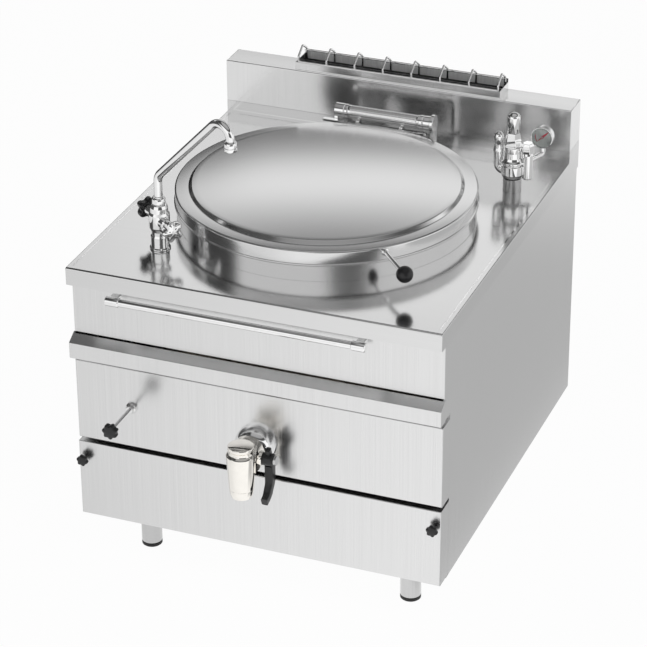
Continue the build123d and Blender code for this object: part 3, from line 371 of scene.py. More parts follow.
def moulded(slot, tone, rough, speck=(900.0, 900.0, 900.0)):
    """Moulded plastic or rubber, with a fine speckle and slightly worn tone."""
    finish = Finish(slot)
    pebble = finish.noise(speck, 2.0)
    wear = finish.noise((40.0, 40.0, 40.0), 3.0)
    dark = tuple(0.8 * c for c in tone) + (1,)
    light = tuple(1.35 * c for c in tone) + (1,)
    finish.paint(base_color=finish.mix(wear.clear_of(0.3, 0.75), dark, light))
    finish.paint(roughness=rough + (pebble - 0.5) * 0.12)
    finish.bump(pebble, 0.15, 0.0001)
    return finish


panel_steel = brushed("panel_steel", 0.76, 0.26, (1500, 1500, 3), (520, 520, 1.2), 0.4, 0.25, 0.035)
worktop_steel = brushed("worktop_steel", 0.73, 0.15, (3, 1500, 1500), (1, 420, 420), 0.0, 0.0, 0.02)
lid_steel = brushed("lid_steel", 0.76, 0.16, (900, 900, 900), (300, 300, 300), 0.0, 0.0, 0.012)
back_steel = brushed("panel_steel", 0.84, 0.17, (1500, 1500, 3), (520, 520, 1.2), 0.4, 0.25, 0.04)
# A pale matt copy of the panel steel: painted light for the shaded rear wall inside the flue riser.
painted_light_steel = brushed("panel_steel", 0.95, 0.75, (900, 900, 8), (300, 300, 3))
tube_steel = brushed("tube_steel", 0.60, 0.16, (900, 900, 8), (300, 300, 3))
wire_steel = polished("wire_steel", 0.92, 0.05)
hinge_steel = brushed("hinge_steel", 0.95, 0.045, (8, 900, 900), (3, 260, 260))
tap_chrome = polished("tap_chrome", 0.94, 0.025)
fitting_chrome = polished("fitting_chrome", 0.94, 0.025)
bush_chrome = polished("bush_chrome", 0.80, 0.12)
drain_nickel = polished("drain_nickel", 0.95, 0.06, (1.0, 0.97, 0.915))
gauge_steel = polished("gauge_steel", 0.88, 0.10)
tap_black = moulded("tap_black", (0.012, 0.012, 0.013), 0.22)
black_plastic = moulded("black_plastic", (0.013, 0.013, 0.014), 0.34)
foot_black = moulded("foot_black", (0.010, 0.010, 0.010), 0.5)
dial_white = moulded("dial_white", (0.66, 0.70, 0.68), 0.42)
needle_red = moulded("needle_red", (0.62, 0.02, 0.05), 0.35)
inner_steel = brushed("inner_steel", 0.60, 0.33, (700, 700, 700), (60, 60, 60))
burner_iron = moulded("burner_iron", (0.09, 0.085, 0.08), 0.6, (300.0, 300.0, 300.0))
gas_brass = polished("gas_brass", 0.75, 0.22, (1.0, 0.82, 0.50))
spring_steel = polished("spring_steel", 0.55, 0.25)


def woven_blanket():
    """Glass-fibre quilt round the jacket."""
    finish = moulded("blanket", (0.55, 0.50, 0.40), 0.9, (500.0, 500.0, 500.0))
    quilt = finish.noise((28.0, 28.0, 28.0), 4.0)
    finish.bump(quilt, 0.6, 0.004)
    return finish


def clear_glass():
    """The gauge's flat window, faintly dusty."""
    finish = Finish("glass", transmission_weight=1.0, ior=1.45)
    dust = finish.noise((180.0, 180.0, 180.0), 3.0)
    finish.paint(roughness=dust * 0.03, base_color=finish.mix(dust, grey(0.97), grey(1.0)))
    return finish


blanket = woven_blanket()
glass = clear_glass()


# ---------------------------------------------------------------- cabinet
dress(worktop_steel, "worktop", bevel=3.0)
dress(back_steel, "flue_box", "flue_riser", bevel=0.6)
dress(panel_steel, "front_panel_middle", bevel=0.6)
dress(panel_steel, "front_panel_upper")
dress(panel_steel, "side_panel_left", "side_panel_right", "rear_panel", "service_door", bevel=0.6)
dress(inner_steel, "bottom_pan", "base_frame", "jacket", "steam_pipe", "fire_box", "flue_duct")
dress(inner_steel, "lid_liner", "drain_ball")
dress(burner_iron, "burner")
dress(gas_brass, "gas_valve", "level_cock")
dress(blanket, "insulation")
dress(spring_steel, "hinge_spring", "hinge_pin")
dress(worktop_steel, "pan")
dress(glass, "gauge_glass")


sheet = 1.5


def wire_guard():
    """The wire guard over the flue: bent hoops joined by two long wires."""
    low, high = corners("flue_guard")
    wire = 2.3
    front, rear = low.y + wire, high.y - wire
    first, last = low.x + wire, high.x - wire
    foot, top = low.z + wire, high.z - 0.4
    count = 8
    knee, rear_knee = foot + 24.5, foot + 26.0
    guard = Shape()
    for i in range(count):
        x = first + (last - first) * i / (count - 1)
        hoop = [(front, foot), (front, knee), ((front + rear) / 2, top), (rear, rear_knee), (rear, foot)]
        path = rounded([(x, y, z) for y, z in hoop], 5.5)
        guard.sweep(path, circle(wire, 14), side=X)
    for y, z in ((rear, rear_knee - 2 * wire), (front, foot + 12.4)):
        guard.sweep([(first, y, z), (last, y, z)], circle(wire, 14))
    guard.piece("flue_wires", wire_steel, "cabinet", "flue_guard")


def paint_riser_light():
    """A pale matt sheet on the top of the rear wall inside the flue riser: painted light that makes this
    shaded wall look lit.
    """
    low, high = corners("flue_riser")
    inner, inset, depth, thick = high.y - sheet, 4, 21, 0.5
    face = oblong(low.x + inset, high.z - depth, high.x - inset, high.z - 0.6)
    Shape().slab(face, (0, inner - thick, 0), X, Z, -thick).piece("riser_painted_light_sheet", painted_light_steel, "cabinet")


def worktop_rim():
    """The fine pressed line inside the worktop's side edges and along the foot of the flue box. It is made in
    bright polished wire steel, not the worktop's own steel: a raised line carrying a painted highlight.
    """
    low, high = corners("worktop")
    top, front = corners("lid_shell")[0].z - 35.3, low.y + 14
    back = corners("flue_box")[0].y
    bead = [(1.3 * math.cos(t), 0.7 * math.sin(t)) for t in (math.pi * i / 8 for i in range(9))]
    rim = Shape()
    for side in (-1, 1):
        x = side * (high.x - 11)
        rim.sweep([(x, front, top), (x, back - 9, top)], bead, side=X)
    rim.sweep([(low.x + 11, back - 9, top), (high.x - 11, back - 9, top)], bead, side=-Y)
    rim.piece("worktop_beads", wire_steel, "cabinet", crease=60)


def lip_return():
    """The worktop's front lip, folded back underneath to the upper panel."""
    low, high = corners("worktop")
    inset, reach = 3, 24.6
    fold = oblong(low.x + inset, low.y + inset, high.x - inset, low.y + reach)
    Shape().slab(fold, (0, 0, low.z + 1.2), X, Y, 1.0).piece("lip_underside", panel_steel, "cabinet")


def leg(name, x, y):
    """A levelling foot: a ribbed black pad on a bright stem."""
    low, high = corners(name)
    radius = 22.0
    pad = [(0, 0), (radius - 2.5, 0), (radius, 2.2), (radius, 8.2), (radius - 0.8, 9.6), (0, 10)]
    Shape().turn(rounded(pad, 1.2), (x, y, low.z)).piece(name + "_pad", foot_black, name, name)
    stem = [(0, 9.5), (19.6, 9.5), (19.6, 60), (18.6, 65), (0, 65)]
    Shape().turn(stem, (x, y, low.z)).piece(name + "_stem", bush_chrome, name)


def legs():
    """The round sleeves under the cabinet, each with its square flange, and the feet in them."""
    sleeves = Shape()
    low, high = corners("leg_sleeves")
    flange = 35.0
    for sx in (-1, 1):
        for sy in (-1, 1):
            x, y = sx * (high.x - flange), sy * (high.y - flange)
            sleeve = [(20, low.z), (22, low.z), (22, high.z - 3), (20, high.z - 3)]
            sleeves.turn(rounded(sleeve, 0.5, closed=True), (x, y, 0), closed=True)
            square = oblong(-flange, -flange, flange, flange)
            sleeves.slab(rounded(square, 6, closed=True), (x, y, high.z - 3), X, Y, 3)
            side = ("left", "right")[sx > 0]
            leg("foot_%s_%s" % (("front", "rear")[sy > 0], side), x, y)
    sleeves.piece("leg_tubes", tube_steel, "cabinet", "leg_sleeves")


def towel_rail():
    """The round rail across the front, in a clamp at each end."""
    low, high = corners("front_rail")
    y, z, radius = (low.y + high.y) / 2, (low.z + high.z) / 2, (high.z - low.z) / 2
    rail = [(0, low.x - 18), (radius, low.x - 18), (radius, high.x + 18), (0, high.x + 18)]
    Shape().turn(rail, (0, y, z), X, 48).piece("rail_bar", wire_steel, "cabinet", "front_rail")
    ends_low, ends_high = corners("rail_brackets")
    clamps = Shape()
    for outer, way in ((ends_low.x, 1), (ends_high.x, -1)):
        collar = [(0, 0), (8.5, 0), (10, 1.5), (10, 28.5), (8.6, 30), (0, 30)]
        clamps.turn(rounded(collar, 0.8), (outer, y, z), X * way, 48)
        post = oblong(-9, -9, 9, 9)
        start = (outer + way * 15, y + 2, z)
        clamps.sweep([start, (start[0], ends_high.y, z)], rounded(post, 3, closed=True), side=X)
    clamps.piece("rail_clamps", wire_steel, "cabinet", "rail_brackets")


paint_riser_light()
worktop_rim()
lip_return()
wire_guard()
legs()
towel_rail()

# ---------------------------------------------------------------- lid and its hinge
lid_low, lid_high = corners("lid_shell")
lid_at = Vector((middle("lid_shell").x, middle("lid_shell").y, 0))
lid_radius = (lid_high.x - lid_low.x) / 2


def lid():
    """The pressed lid: a deep skirt, a flat ring and a raised, slightly crowned disc."""
    ring_z = lid_low.z + 32
    disc_z, foot = ring_z + 8, lid_radius - 29
    edge, hem = foot - 6, 2.0
    crown = lid_high.z - disc_z
    radii = [edge * i / 24 for i in range(24)]
    outside = [(r, disc_z + crown * (1 - (r / edge) ** 2)) for r in radii]
    step = [(edge, disc_z), (foot, ring_z + 0.7), (lid_radius, ring_z), (lid_radius, lid_low.z + 5)]
    step += [(lid_radius + hem, lid_low.z + 4), (lid_radius + hem, lid_low.z)]
    step += [(lid_radius - sheet, lid_low.z), (lid_radius - sheet, ring_z - sheet)]
    step += [(foot - sheet, ring_z - sheet), (edge - sheet, disc_z - sheet)]
    inside = [(r, z - sheet) for r, z in reversed(outside)]
    bends = [0] * 24 + [3.0, 2.2, 4.0, 0.6, 0.8, 1.2, 0.5, 2.0, 1.5, 2.0] + [0] * 24
    outline = rounded(outside + step + inside, bends, steps=6)
    Shape().turn(outline, lid_at, count=192).piece("lid_pressing", lid_steel, "lid", "lid_shell", crease=50)


def lid_grip():
    """The lid's handle: a bright rod with a black ball."""
    centre = middle("lid_ball")
    out = Vector((centre.x - lid_at.x, centre.y - lid_at.y, 0)).normalized()
    root = lid_at + out * (lid_radius + 0.1) + Z * (centre.z + 3)
    along = (centre - root).normalized()
    reach = (centre - root).length
    rod = [(0, 0), (8, 0), (8, 1.6), (5.6, 2.6), (4.5, 5), (4.5, reach - 18), (0, reach - 18)]
    Shape().turn(rounded(rod, 0.8), root, along, 32).piece("lid_rod", tap_chrome, "lid", "lid_handle")
    radius = 17.0
    ball = [(0, -radius - 3), (6, -radius - 3), (6.6, -radius - 1)]
    for i in range(3, 25):
        t = math.pi * i / 24
        ball.append((radius * math.sin(t), -radius * math.cos(t)))
    Shape().turn(ball, centre, along, 48).piece("lid_knob", black_plastic, "lid", "lid_ball", crease=60)


def lid_hinge():
    """The sprung hinge: a ribbed barrel between two collars, on two legs, and the lid's bracket."""
    barrel_r, collar_r, disc_r, disc_w = 14.0, 15.5, 20.0, 8.0
    low, high = corners("hinge_barrel")
    axle = Vector((0, high.y - barrel_r, high.z - barrel_r))
    left_low, left_high = corners("hinge_bracket_left")
    right_low = corners("hinge_bracket_right")[0]
    start, end = left_high.x + 0.3, right_low.x - 0.3
    ribs = [(12, start), (13.6, start), (14, start + 1), (14, start + 4)]
    pitch, x = 3.2, start + 5
    while x < end - 6:
        ribs += [(14, x), (14, x + pitch * 0.5), (13.3, x + pitch * 0.75)]
        x += pitch
    ribs += [(14, end - 4), (14, end - 1), (13.6, end), (12, end)]
    barrel = Shape().turn(ribs, axle, X, 56, closed=True)
    barrel.piece("hinge_housing", hinge_steel, "lid", crease=40)
    arms = Shape()
    reach = lid_at.y + lid_radius + 1.8
    under = axle.z - barrel_r
    for x in (-58, 42):
        arm = [(reach, under - 22), (axle.y - 4, under - 7), (axle.y + 7, under + 1.5)]
        arm += [(axle.y - 9, under + 3.2), (reach, under - 1)]
        arms.slab(rounded(arm, 2, closed=True), (x, 0, 0), Y, Z, 8)
    deck = lid_high.z - 28
    edge = oblong(low.x, reach, high.x, axle.y - 13)
    arms.slab(rounded(edge, 2.5, closed=True), (0, 0, deck), X, Y, 5)
    arms.piece("hinge_arms", hinge_steel, "lid", "hinge_barrel", bevel=0.8)
    left = Shape()
    inner = left_low.x + 14
    collar = [(0, inner), (collar_r - 0.6, inner), (collar_r, inner + 0.8), (collar_r, left_high.x - 9)]
    collar += [(14.4, left_high.x - 8), (14.4, left_high.x - 7), (collar_r, left_high.x - 6)]
    collar += [(collar_r, left_high.x - 0.8), (collar_r - 0.6, left_high.x), (0, left_high.x)]
    left.turn(collar, axle, X, 56)
    plate = oblong(-12, left_low.z + 4, 12, axle.z)
    left.slab(plate, (inner, axle.y, 0), Y, Z, 8)
    base = oblong(-13, left_low.z, 13, left_low.z + 5)
    left.slab(base, (left_low.x, axle.y, 0), Y, Z, 22)
    left.piece("hinge_left", hinge_steel, "cabinet", "hinge_bracket_left", bevel=0.7)
    right = Shape()
    face = right_low.x + 26
    collar = [(0, right_low.x), (collar_r - 0.6, right_low.x), (collar_r, right_low.x + 0.8)]
    collar += [(collar_r, right_low.x + 8), (14.4, right_low.x + 9), (14.4, right_low.x + 10)]
    collar += [(collar_r, right_low.x + 11), (collar_r, face), (disc_r - 0.8, face), (disc_r, face + 0.8)]
    collar += [(disc_r, face + disc_w - 0.8), (disc_r - 0.8, face + disc_w), (0, face + disc_w)]
    right.turn(collar, axle, X, 64)
    leg_plate = oblong(-13, right_low.z + 4, 13, axle.z)
    right.slab(leg_plate, (face + 0.2, axle.y, 0), Y, Z, disc_w - 0.4)
    base = oblong(-13, right_low.z, 13, right_low.z + 5)
    right.slab(base, (face, axle.y, 0), Y, Z, 22)
    right.piece("hinge_right", hinge_steel, "cabinet", "hinge_bracket_right", bevel=0.7)


lid()
lid_grip()
lid_hinge()


# ---------------------------------------------------------------- knobs
def star_knob(name, at, axis, radius, lobes, thick, body, *stands_for, finish=None, deep=0.2):
    """A moulded star knob with a domed face."""
    edge = [(0, 0), (radius * 0.85, 0), (radius * 0.97, thick * 0.08), (radius, thick * 0.2)]
    edge += [(radius, thick * 0.72), (radius * 0.95, thick * 0.86), (radius * 0.82, thick * 0.95)]
    edge += [(radius * 0.5, thick * 0.97), (radius * 0.42, thick), (0, thick)]
    knob = Shape().turn(edge, at, axis, lobes * 16, lobes=lobes, depth=deep)
    knob.piece(name, finish or black_plastic, body, *stands_for, crease=38)


def door_knob(word):
    """One of the two star knobs that hold the service door shut, with its screw."""
    node = "door_knob_" + word
    low, high = corners(node)
    axis = pivot(node + "_turn")
    at = Vector((axis.x, low.y, axis.z))
    thick, tip = 11, high.y - low.y
    star_knob(node + "_star", at + Y * thick, -Y, 12.5, 6, thick, node, node)
    shank = [(0, 10.5), (6.2, 10.5), (6.2, 14.5), (2.5, 15), (2.5, tip - 1), (0, tip)]
    Shape().turn(shank, at, Y, 32).piece(node + "_screw", black_plastic, node)


def level_tap():
    """The level tap on the front: a bright spindle through a bush, with a star knob."""
    x, z = middle("level_spindle").x, middle("level_spindle").z
    far = corners("level_spindle")[1].y
    high = corners("level_knob")[1]
    star_knob("level_star", Vector((x, high.y, z)), -Y, 17, 7, 15, "level_handle", "level_knob")
    near = high.y - 4
    spindle = [(0, near), (6.2, near), (6.2, near + 11), (5, near + 12), (5, far), (0, far)]
    Shape().turn(spindle, (x, 0, z), Y, 36).piece("level_rod", tap_chrome, "level_handle", "level_spindle")
    back, bore = corners("level_bush")[1].y, 5.05
    bush = [(bore, back), (12, back), (12, back - 5), (11, back - 7), (8.6, back - 9)]
    bush += [(8, back - 13), (7.4, back - 14), (bore, back - 14)]
    gland = Shape().turn(bush, (x, 0, z), Y, 40, closed=True)
    gland.piece("level_gland", bush_chrome, "cabinet", "level_bush")


door_knob("left")
door_knob("right")
level_tap()


# ---------------------------------------------------------------- drain cock
def drain_cock():
    """The drain cock: dome flange, saddle body, tapered outlet barrel and black lever."""
    low, high = corners("drain_flange")
    z = (low.z + high.z) / 2
    radius, bore, rim = (high.z - low.z) / 2, 24.1, 3
    flange = [(bore, high.y), (radius, high.y), (radius, high.y - rim)]
    flange += dome(radius, -28, high.y - rim, 15, hole=bore)[:-1] + [(bore, low.y)]
    flange = Shape().turn(flange, (0, 0, z), Y, 96, closed=True)
    flange.piece("drain_dome", tap_chrome, "cabinet", "drain_flange")
    ball = pivot("drain_turn").y
    barrel = ball - 30
    hood = Shape()
    rings = []
    crests = [(-507, 380), (-502, 390), (-496, 396), (-489, 400), (-480, 403), (-470, 404.5), (-462.6, 405)]
    half_width, shoulder, foot = 30.6, 372, 350
    for y, crest in crests:
        ring = []
        for i in range(25):
            t = math.pi * i / 24
            across = math.copysign(abs(math.cos(t)) ** 0.75, math.cos(t))
            ring.append((half_width * across, y, shoulder + (crest - shoulder) * math.sin(t) ** 0.85))
        ring += [(-half_width, y, foot), (half_width, y, foot)]
        rings.append(ring)
    hood.skin(rings)
    hood.piece("drain_hood", drain_nickel, "cabinet", crease=50)
    body = Shape()
    bowl = [(0, 336), (20, 337), (27, 343), (30, 352), (30, 374), (0, 374)]
    body.turn(bowl, (0, ball, 0), count=64)
    boss = [(0, 0), (15, 0), (15, 33.5), (13.8, 35.6), (0, 35.6)]
    body.turn(boss, (0, ball, z), X, 48)
    body.piece("drain_saddle", drain_nickel, "cabinet", crease=40)
    taper = [(0, 370), (17, 370), (17, 312), (25.5, 312), (25.7, 313)]
    taper += [(30.4, 386), (30.4, 388), (29, 390)]
    taper += [(25.5, 392.5), (24.2, 396), (24.4, 399), (26.2, 401.4), (26.8, 402.6), (26.8, 406)]
    taper += [(26, 408.2), (24.4, 409), (0, 409)]
    Shape().turn(taper, (0, barrel, 0), count=96).piece("drain_barrel", drain_nickel, "cabinet", "drain_body")
    tip = [(17, 290), (18.5, 290), (21.5, 292.4), (24, 300), (25.1, 311.7), (17, 311.7)]
    tip = Shape().turn(rounded(tip, 1.0, closed=True), (0, barrel, 0), count=96, closed=True)
    tip.piece("drain_tip", drain_nickel, "cabinet", "drain_outlet")
    lever_x = 47.0
    path = [(lever_x, ball - 2, z + 24), (lever_x, ball + 6, z - 14), (lever_x, ball + 7, z - 56)]
    path += [(lever_x, ball - 10, z - 80), (lever_x, ball - 26, z - 86)]
    path = rounded(path, 26, steps=8)
    blade = rounded(oblong(-8.5, -11, 8.5, 11), 4, closed=True)
    last = len(path) - 1
    scale = [0.6 + 0.4 * min(1, i / 5) - 0.30 * max(0, i / last - 0.35) for i in range(last + 1)]
    lever = Shape().sweep(path, blade, side=X, scale=scale)
    lever.piece("drain_grip", black_plastic, "drain_handle", "drain_lever", crease=50)
    hub = [(0, 36.2), (13, 36.2), (13.4, 38), (13.4, 56), (12, 58), (0, 58)]
    Shape().turn(rounded(hub, 1.2), (0, ball, z), X, 48).piece("drain_hub", black_plastic, "drain_handle")
    screw = [(0, 58), (8.5, 58), (8.5, 60.5), (6, 62.8), (0, 63)]
    Shape().turn(rounded(screw, 1), (0, ball, z), X, 32).piece("drain_screw", tap_chrome, "drain_handle")


drain_cock()


# ---------------------------------------------------------------- water tap
def water_tap():
    """The column tap: moulded column, cross arm with two handles, and the swivel spout."""
    x, y, arm_z = pivot("tap_knob_left_turn")
    z = arm_z - 64
    tap_dir = Vector((math.cos(math.radians(-42)), math.sin(math.radians(-42)), 0))
    neck = corners("tap_spout")[0].z
    column = [(0, z), (21.5, z), (21.5, z + 3), (19, z + 6), (19, z + 28), (17, z + 32), (17, arm_z - 24)]
    column += [(21, arm_z - 17), (21.5, arm_z - 14), (21.5, arm_z + 13), (18.5, arm_z + 18)]
    column += [(18.5, neck - 8), (16, neck - 2), (14, neck - 0.3), (0, neck - 0.3)]
    body = Shape()
    body.turn(rounded(column, 1.2), (x, y, 0), count=64)
    at = Vector((x, y, arm_z))
    arm = [(0, -50), (11, -50), (12, -49), (12, -40), (10.6, -38), (10.6, -24), (12, -20)]
    arm += [(12, 20), (10.6, 24), (10.6, 38), (12, 40), (12, 49), (11, 50), (0, 50)]
    body.turn(arm, at, tap_dir, 48)
    tail_x, tail_foot = x - 90, 119
    socket = [(0, 90), (10.5, 90), (10.5, 112), (14, 112), (14, 119.7), (0, 119.7)]
    for sx, turn_z, tail_y in ((-1, 600, y), (1, 570, y + 38)):
        near = x + sx * 8
        tail = [(near, y, z + 1), (near, y, turn_z), (tail_x, tail_y, turn_z), (tail_x, tail_y, tail_foot)]
        body.sweep(rounded(tail, 12), circle(7, 24))
        body.turn(socket, (tail_x, tail_y, 0))
    body.piece("tap_column", tap_chrome, "cabinet", "tap_body", crease=35)
    for side, word, finish in ((-1, "left", tap_black), (1, "right", tap_chrome)):
        near = at + tap_dir * (side * 50.3)
        knob = "tap_knob_" + word
        star_knob("tap_star_" + word, near, tap_dir * side, 23, 5, 22, knob, knob, finish=finish, deep=0.30)
    spout_dir = Vector((math.cos(math.radians(-20)), math.sin(math.radians(-20)), 0))
    reach, bend_z, mouth_z = 203, 866, 1003
    base = Vector((x, y, 0))
    tip = base + spout_dir * reach
    route = [base + Z * (neck + 6), base + Z * bend_z, tip + Z * (bend_z + reach), tip + Z * mouth_z]
    route = rounded(route, [0, 28, 27, 0], steps=14)
    spout = Shape().sweep(route, circle(8.75, 40))
    swivel = [(0, neck), (12.6, neck), (14, neck + 1.6), (14, neck + 11), (12.8, neck + 13)]
    swivel += [(10.4, neck + 14.2), (10.4, neck + 16), (8.8, neck + 16.4), (0, neck + 16.4)]
    spout.turn(swivel, base, count=64)
    spout.piece("spout_tube", tap_chrome, "spout", "tap_spout", crease=35)
    low, high = corners("aerator")
    nozzle = [(7.5, low.z + 2), (10.4, low.z), (12, low.z + 0.6), (13, low.z + 2.4), (13, low.z + 8)]
    nozzle += [(12.1, low.z + 8.8), (12.1, low.z + 10), (13, low.z + 10.8), (13, high.z - 4.5)]
    nozzle += [(11.6, high.z - 2), (9.4, high.z), (7.5, high.z)]
    Shape().turn(nozzle, tip, count=56, closed=True).piece("spout_nozzle", tap_chrome, "spout", "aerator")


water_tap()


# ---------------------------------------------------------------- safety group and gauge
def safety_group():
    """The jacket's safety valve with its vacuum breaker, fill fitting and gauge pipe."""
    fill_x, y = pivot("fill_cap_turn").xy
    x, breaker_x, gauge_x = fill_x - 33, fill_x - 65, pivot("gauge_needle_turn").x
    base = corners("safety_body")[0].z
    valve = [(0, 0), (15, 0), (19, 1.5), (23.4, 6), (24.4, 11), (24.4, 30), (22.4, 31.5), (22.4, 33.5)]
    valve += [(24.4, 35), (24.4, 39), (21, 43), (19.4, 48), (18.6, 60), (19.4, 68), (19.4, 73), (0, 73)]
    body = Shape()
    body.turn(rounded(valve, 1.0), (x, y, base), count=72)
    cone = [(0, 807), (19.4, 807), (19.4, 811), (14.6, 837.9), (7.1, 837.9), (7.1, 830), (0, 830)]
    body.turn(cone, (x, y, 0), count=6)
    body.turn([(0, 0), (9, 0), (9, 33)], (x, y, base + 35), X, 40)
    fill = [(0, 2), (9, 2), (11.5, 5), (11.5, 57), (10.4, 62), (0, 62)]
    body.turn(rounded(fill, 0.8), (fill_x, y, base), count=48)
    elbow = [(breaker_x, y, 790), (breaker_x, y, 752), (x - 8, y, 744)]
    body.sweep(rounded(elbow, 14, steps=10), circle(9.6, 32))
    pipe_y, pipe_z = 262, 776
    gauge_pipe = [(fill_x, y, pipe_z), (gauge_x, pipe_y, pipe_z), (gauge_x, pipe_y, 791.7)]
    body.sweep(rounded(gauge_pipe, 11, steps=10), circle(6, 28))
    body.piece("valve_body", fitting_chrome, "cabinet", "safety_body", crease=34)
    cap = [(0, 808), (7, 808), (7, 838.3), (13.2, 838.3), (14, 839.2), (14, 872)]
    cap = Shape().turn(cap + dome(14, 11, 872, 8), (x, y, 0), count=56)
    cap.piece("valve_cap", fitting_chrome, "safety_cap", "safety_cap", crease=45)
    breaker = [(0, 790.3), (10.6, 790.3), (10.6, 794), (9.4, 797), (9.4, 811), (10.6, 814), (10.6, 824)]
    breaker = Shape().turn(breaker + dome(10.6, 11, 824, 7), (breaker_x, y, 0), count=48)
    breaker.piece("breaker_dome", fitting_chrome, "cabinet", "vacuum_breaker", crease=45)
    nut = [(0, 796.3), (14, 796.3), (14, 813), (11, 818.3), (0, 818.3)]
    nut = Shape().turn(nut, (fill_x, y, 0), count=6)
    nut.piece("fill_nut", fitting_chrome, "fill_cap", "fill_cap", bevel=0.6)


def pressure_gauge():
    """The pressure gauge: rolled bezel, pale dial with ticks, red needle."""
    axis = pivot("gauge_needle_turn")
    at = Vector((axis.x, 0, axis.z))
    front, back = axis.y, axis.y + 22
    case = [(0, front + 7), (22, front + 7), (22, front + 0.4), (22.6, front), (23.6, front + 0.2)]
    case += [(24, front + 1), (24, front + 4)]
    case += [(23.2, front + 5.2), (23, front + 6), (23, back - 4), (22, back - 1.4), (19.6, back), (0, back)]
    Shape().turn(case, at, Y, 80).piece("gauge_drum", gauge_steel, "cabinet", "gauge_case", crease=40)
    dress(dial_white, "gauge_dial")
    face = front + 5.88
    ticks, band = Shape(), Shape()
    for i in range(21):
        t = math.radians(225 - 13.5 * i)
        out = X * math.cos(t) + Z * math.sin(t)
        length = 4.0 if i % 5 == 0 else 2.2
        mark = at + Y * face + out * (19.4 - length)
        side = out.cross(Y)
        ticks.slab(oblong(0, -0.28, length, 0.28), mark, out, side, 0.1)
    ticks.piece("dial_ticks", black_plastic, "cabinet")
    inner, outer = 14.6, 16.2
    for i in range(14):
        t0, t1 = (math.radians(228 - 4.3 * k) for k in (i, i + 1))
        ends = [(inner, t0), (outer, t0), (outer, t1), (inner, t1)]
        quad = [(r * math.cos(t), r * math.sin(t)) for r, t in ends]
        band.slab(quad, at + Y * (face + 0.04), X, Z, -0.06)
    band.piece("dial_band", needle_red, "cabinet")
    hand = [(-9, -8), (-8, -9), (-1, -2.6), (2.6, -1), (13.6, 12.4), (12.6, 13.4), (-1, 2.6), (-2.6, -1)]
    needle = Shape().slab(hand, at + Y * (front + 5.6), X, Z, 0.6)
    needle.turn([(0, -0.2), (3, -0.2), (3, 0.8), (2.4, 1.2), (0, 1.2)], at + Y * (front + 5.6), -Y, 32)
    needle.piece("gauge_hand", needle_red, "gauge_needle", "gauge_needle")


safety_group()
pressure_gauge()


# ---------------------------------------------------------------- floor, light and camera
def floor():
    """A plain white floor that keeps a soft shadow. Metal mirrors it with painted light and shade: brighter
    than white, and darker beside and behind the kettle.
    """
    size = 40.0
    mesh = bpy.data.meshes.new("floor")
    mesh.from_pydata([(a, b, 0) for a, b in oblong(-size, -size, size, size)], [], [(0, 1, 2, 3)])
    plane = bpy.data.objects.new("floor", mesh)
    bpy.context.scene.collection.objects.link(plane)
    paint = bpy.data.materials.new("floor")
    mesh.materials.append(paint)
    tree = Nodes(paint)
    tree.nodes.remove(tree.nodes["Principled BSDF"])
    seen = tree.node("LightPath", output="Is Camera Ray")
    mirrored = tree.node("LightPath", output="Is Glossy Ray")
    through = tree.node("LightPath", output="Is Transmission Ray")
    place = tree.node("TexCoord", output=3)
    x = tree.node("SeparateXYZ", {}, {0: place}, 0)
    y = tree.node("SeparateXYZ", {}, {0: place}, 1)
    # Places on the floor, in metres: right of the kettle, far to the rear, to the left,
    # in front of the left half, and behind the left half.
    beside = x.clear_of(0.30, 0.52) * (y + 0.62).clear_of(0.0, 0.10)
    far_rear = y.clear_of(1.2, 2.2)
    leftward = 1 - x.clear_of(-1.3, 0.25)
    near = (1 - x.clear_of(-0.6, 0.4)) * y.clear_of(-1.15, -0.6)
    behind = (0 - x).clear_of(0.25, 0.6) * y.clear_of(0.3, 0.8)
    # Painted light and shade in what metal mirrors: the tone starts brighter than white, is dimmed to the
    # left and in front of the left half, and carries a painted shadow of the kettle beside and behind it.
    tone = 1.12 - leftward * 0.24 - near * 0.12
    tone = tone * (1 - beside * (0.5 - far_rear * 0.38)) * (1 - behind * 0.96)
    white = tree.node("Emission", {}, {"Color": grey(1.0), "Strength": 1.0})
    painted_mirror_tone = tree.node("Emission", {}, {"Color": tone, "Strength": 1.0})
    matt = tree.node("BsdfDiffuse", {}, {"Color": grey(0.8)})
    glow = tree.node("MixShader", {}, {0: mirrored, 1: white, 2: painted_mirror_tone})
    share = (seen + through).clear_of(0.0, 1.0) * 0.97 + mirrored * 0.85
    both = tree.node("MixShader", {}, {0: share, 1: matt, 2: glow})
    tree.links.new(both.socket, tree.nodes["Material Output"].inputs["Surface"])


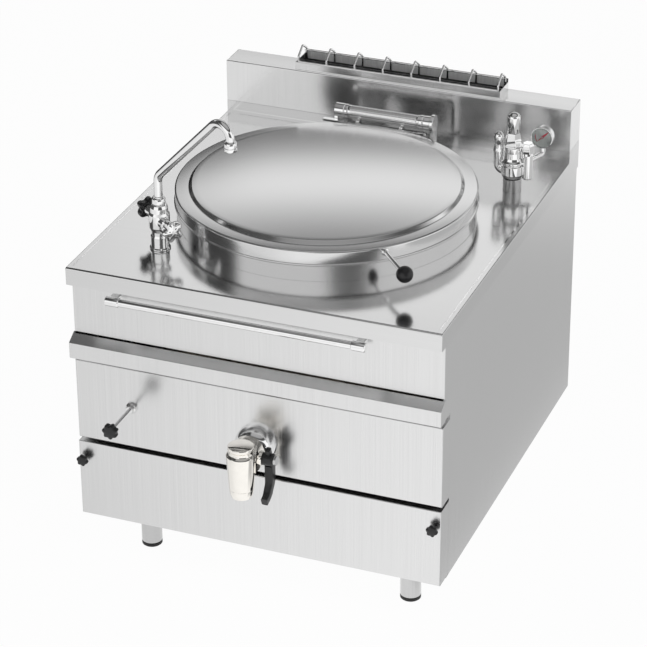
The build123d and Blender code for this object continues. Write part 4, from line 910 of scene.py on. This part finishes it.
def surroundings():
    """Plain white to the eye. Metal mirrors a bright band low round the room, with dark gaps in it."""
    world = bpy.data.worlds.new("studio")
    bpy.context.scene.world = world
    tree = Nodes(world)
    way = tree.node("TexCoord", output=0)
    x = tree.node("SeparateXYZ", {}, {0: way}, 0)
    y = tree.node("SeparateXYZ", {}, {0: way}, 1)
    z = tree.node("SeparateXYZ", {}, {0: way}, 2)
    # Brightness by height, from the horizon at 0 to straight up at 1.
    rear_bands = [(0.0, 0.9), (0.27, 0.10), (0.35, 0.40), (0.41, 1.08), (0.46, 1.14)]
    rear_bands += [(0.50, 0.74), (0.56, 0.36), (0.62, 0.12), (0.8, 0.10), (1.0, 0.34)]
    front_bands = [(0.0, 1.0), (0.48, 1.0), (0.53, 0.8), (0.59, 0.10), (0.70, 0.07)]
    front_bands += [(0.79, 0.34), (1.0, 0.42)]
    rear_tone = tree.node("ValToRGB", {"stops": rear_bands}, {0: z})
    front_tone = tree.node("ValToRGB", {"stops": front_bands}, {0: z})
    rear = y.clear_of(0.2, 0.6)
    # Dark gaps: rear left, low rear left, low left, high left, and front right.
    rear_left = (0 - x).clear_of(0.38, 0.45) * (1 - z.clear_of(0.38, 0.43) * 0.7)
    low_rear_left = (y * 0.69 - x * 0.71).clear_of(0.88, 0.96) * (1 - z.clear_of(0.16, 0.28))
    low_left = (0 - x * 0.99 - y * 0.16).clear_of(0.74, 0.82)
    high_left = z.clear_of(0.70, 0.78) * (0 - x).clear_of(0.26, 0.41)
    front_right = (x * 0.62 - y * 0.78).clear_of(0.845, 0.875)
    tone = rear_tone * (1 - rear_left * 0.75) * (1 - low_rear_left * 0.97) * rear
    tone = tone + front_tone * (1 - front_right * 0.9) * (1 - rear)
    tone = tone * (1 - low_left * 0.92) * (1 - high_left * 0.85)
    seen = tree.node("LightPath", output="Is Camera Ray")
    light = tree.nodes["Background"]
    tree.feed(light.inputs["Color"], tone * (1 - seen) + seen)
    tree.feed(light.inputs["Strength"], 1.0)


def lamp(name, at, size, power):
    """A soft square lamp aimed at the lid, which metal doesn't mirror."""
    light = bpy.data.lights.new(name, "AREA")
    light.shape = "SQUARE"
    light.size = size
    light.energy = power
    holder = bpy.data.objects.new(name, light)
    holder.location = at
    holder.rotation_euler = (Vector((0, 0, 0.6)) - Vector(at)).to_track_quat("-Z", "Y").to_euler()
    holder.visible_glossy = False
    bpy.context.scene.collection.objects.link(holder)


def camera():
    """The camera, above and to the right of the front."""
    azimuth, elevation, roll = (math.radians(a) for a in (21.52, 28.205, -0.378))
    target, distance = Vector((-0.0216, 0, 0.4252)), 5.9372
    flat = math.cos(elevation)
    back = Vector((math.sin(azimuth) * flat, -math.cos(azimuth) * flat, math.sin(elevation)))
    level = Z.cross(back).normalized()
    upright = back.cross(level)
    across = level * math.cos(roll) + upright * math.sin(roll)
    up = upright * math.cos(roll) - level * math.sin(roll)
    lens = bpy.data.cameras.new("camera")
    lens.lens = 154.46
    lens.sensor_width = 36
    holder = bpy.data.objects.new("camera", lens)
    place = Matrix.Identity(4)
    for column, way in enumerate((across, up, back, target + back * distance)):
        for row in range(3):
            place[row][column] = way[row]
    holder.matrix_world = place
    bpy.context.scene.collection.objects.link(holder)
    bpy.context.scene.camera = holder


floor()
surroundings()
lamp("key", (2.6, -2.2, 3.4), 1.2, 40)
lamp("fill", (-2.8, -1.6, 2.6), 1.6, 25)
camera()
bpy.context.scene.view_settings.view_transform = "Standard"
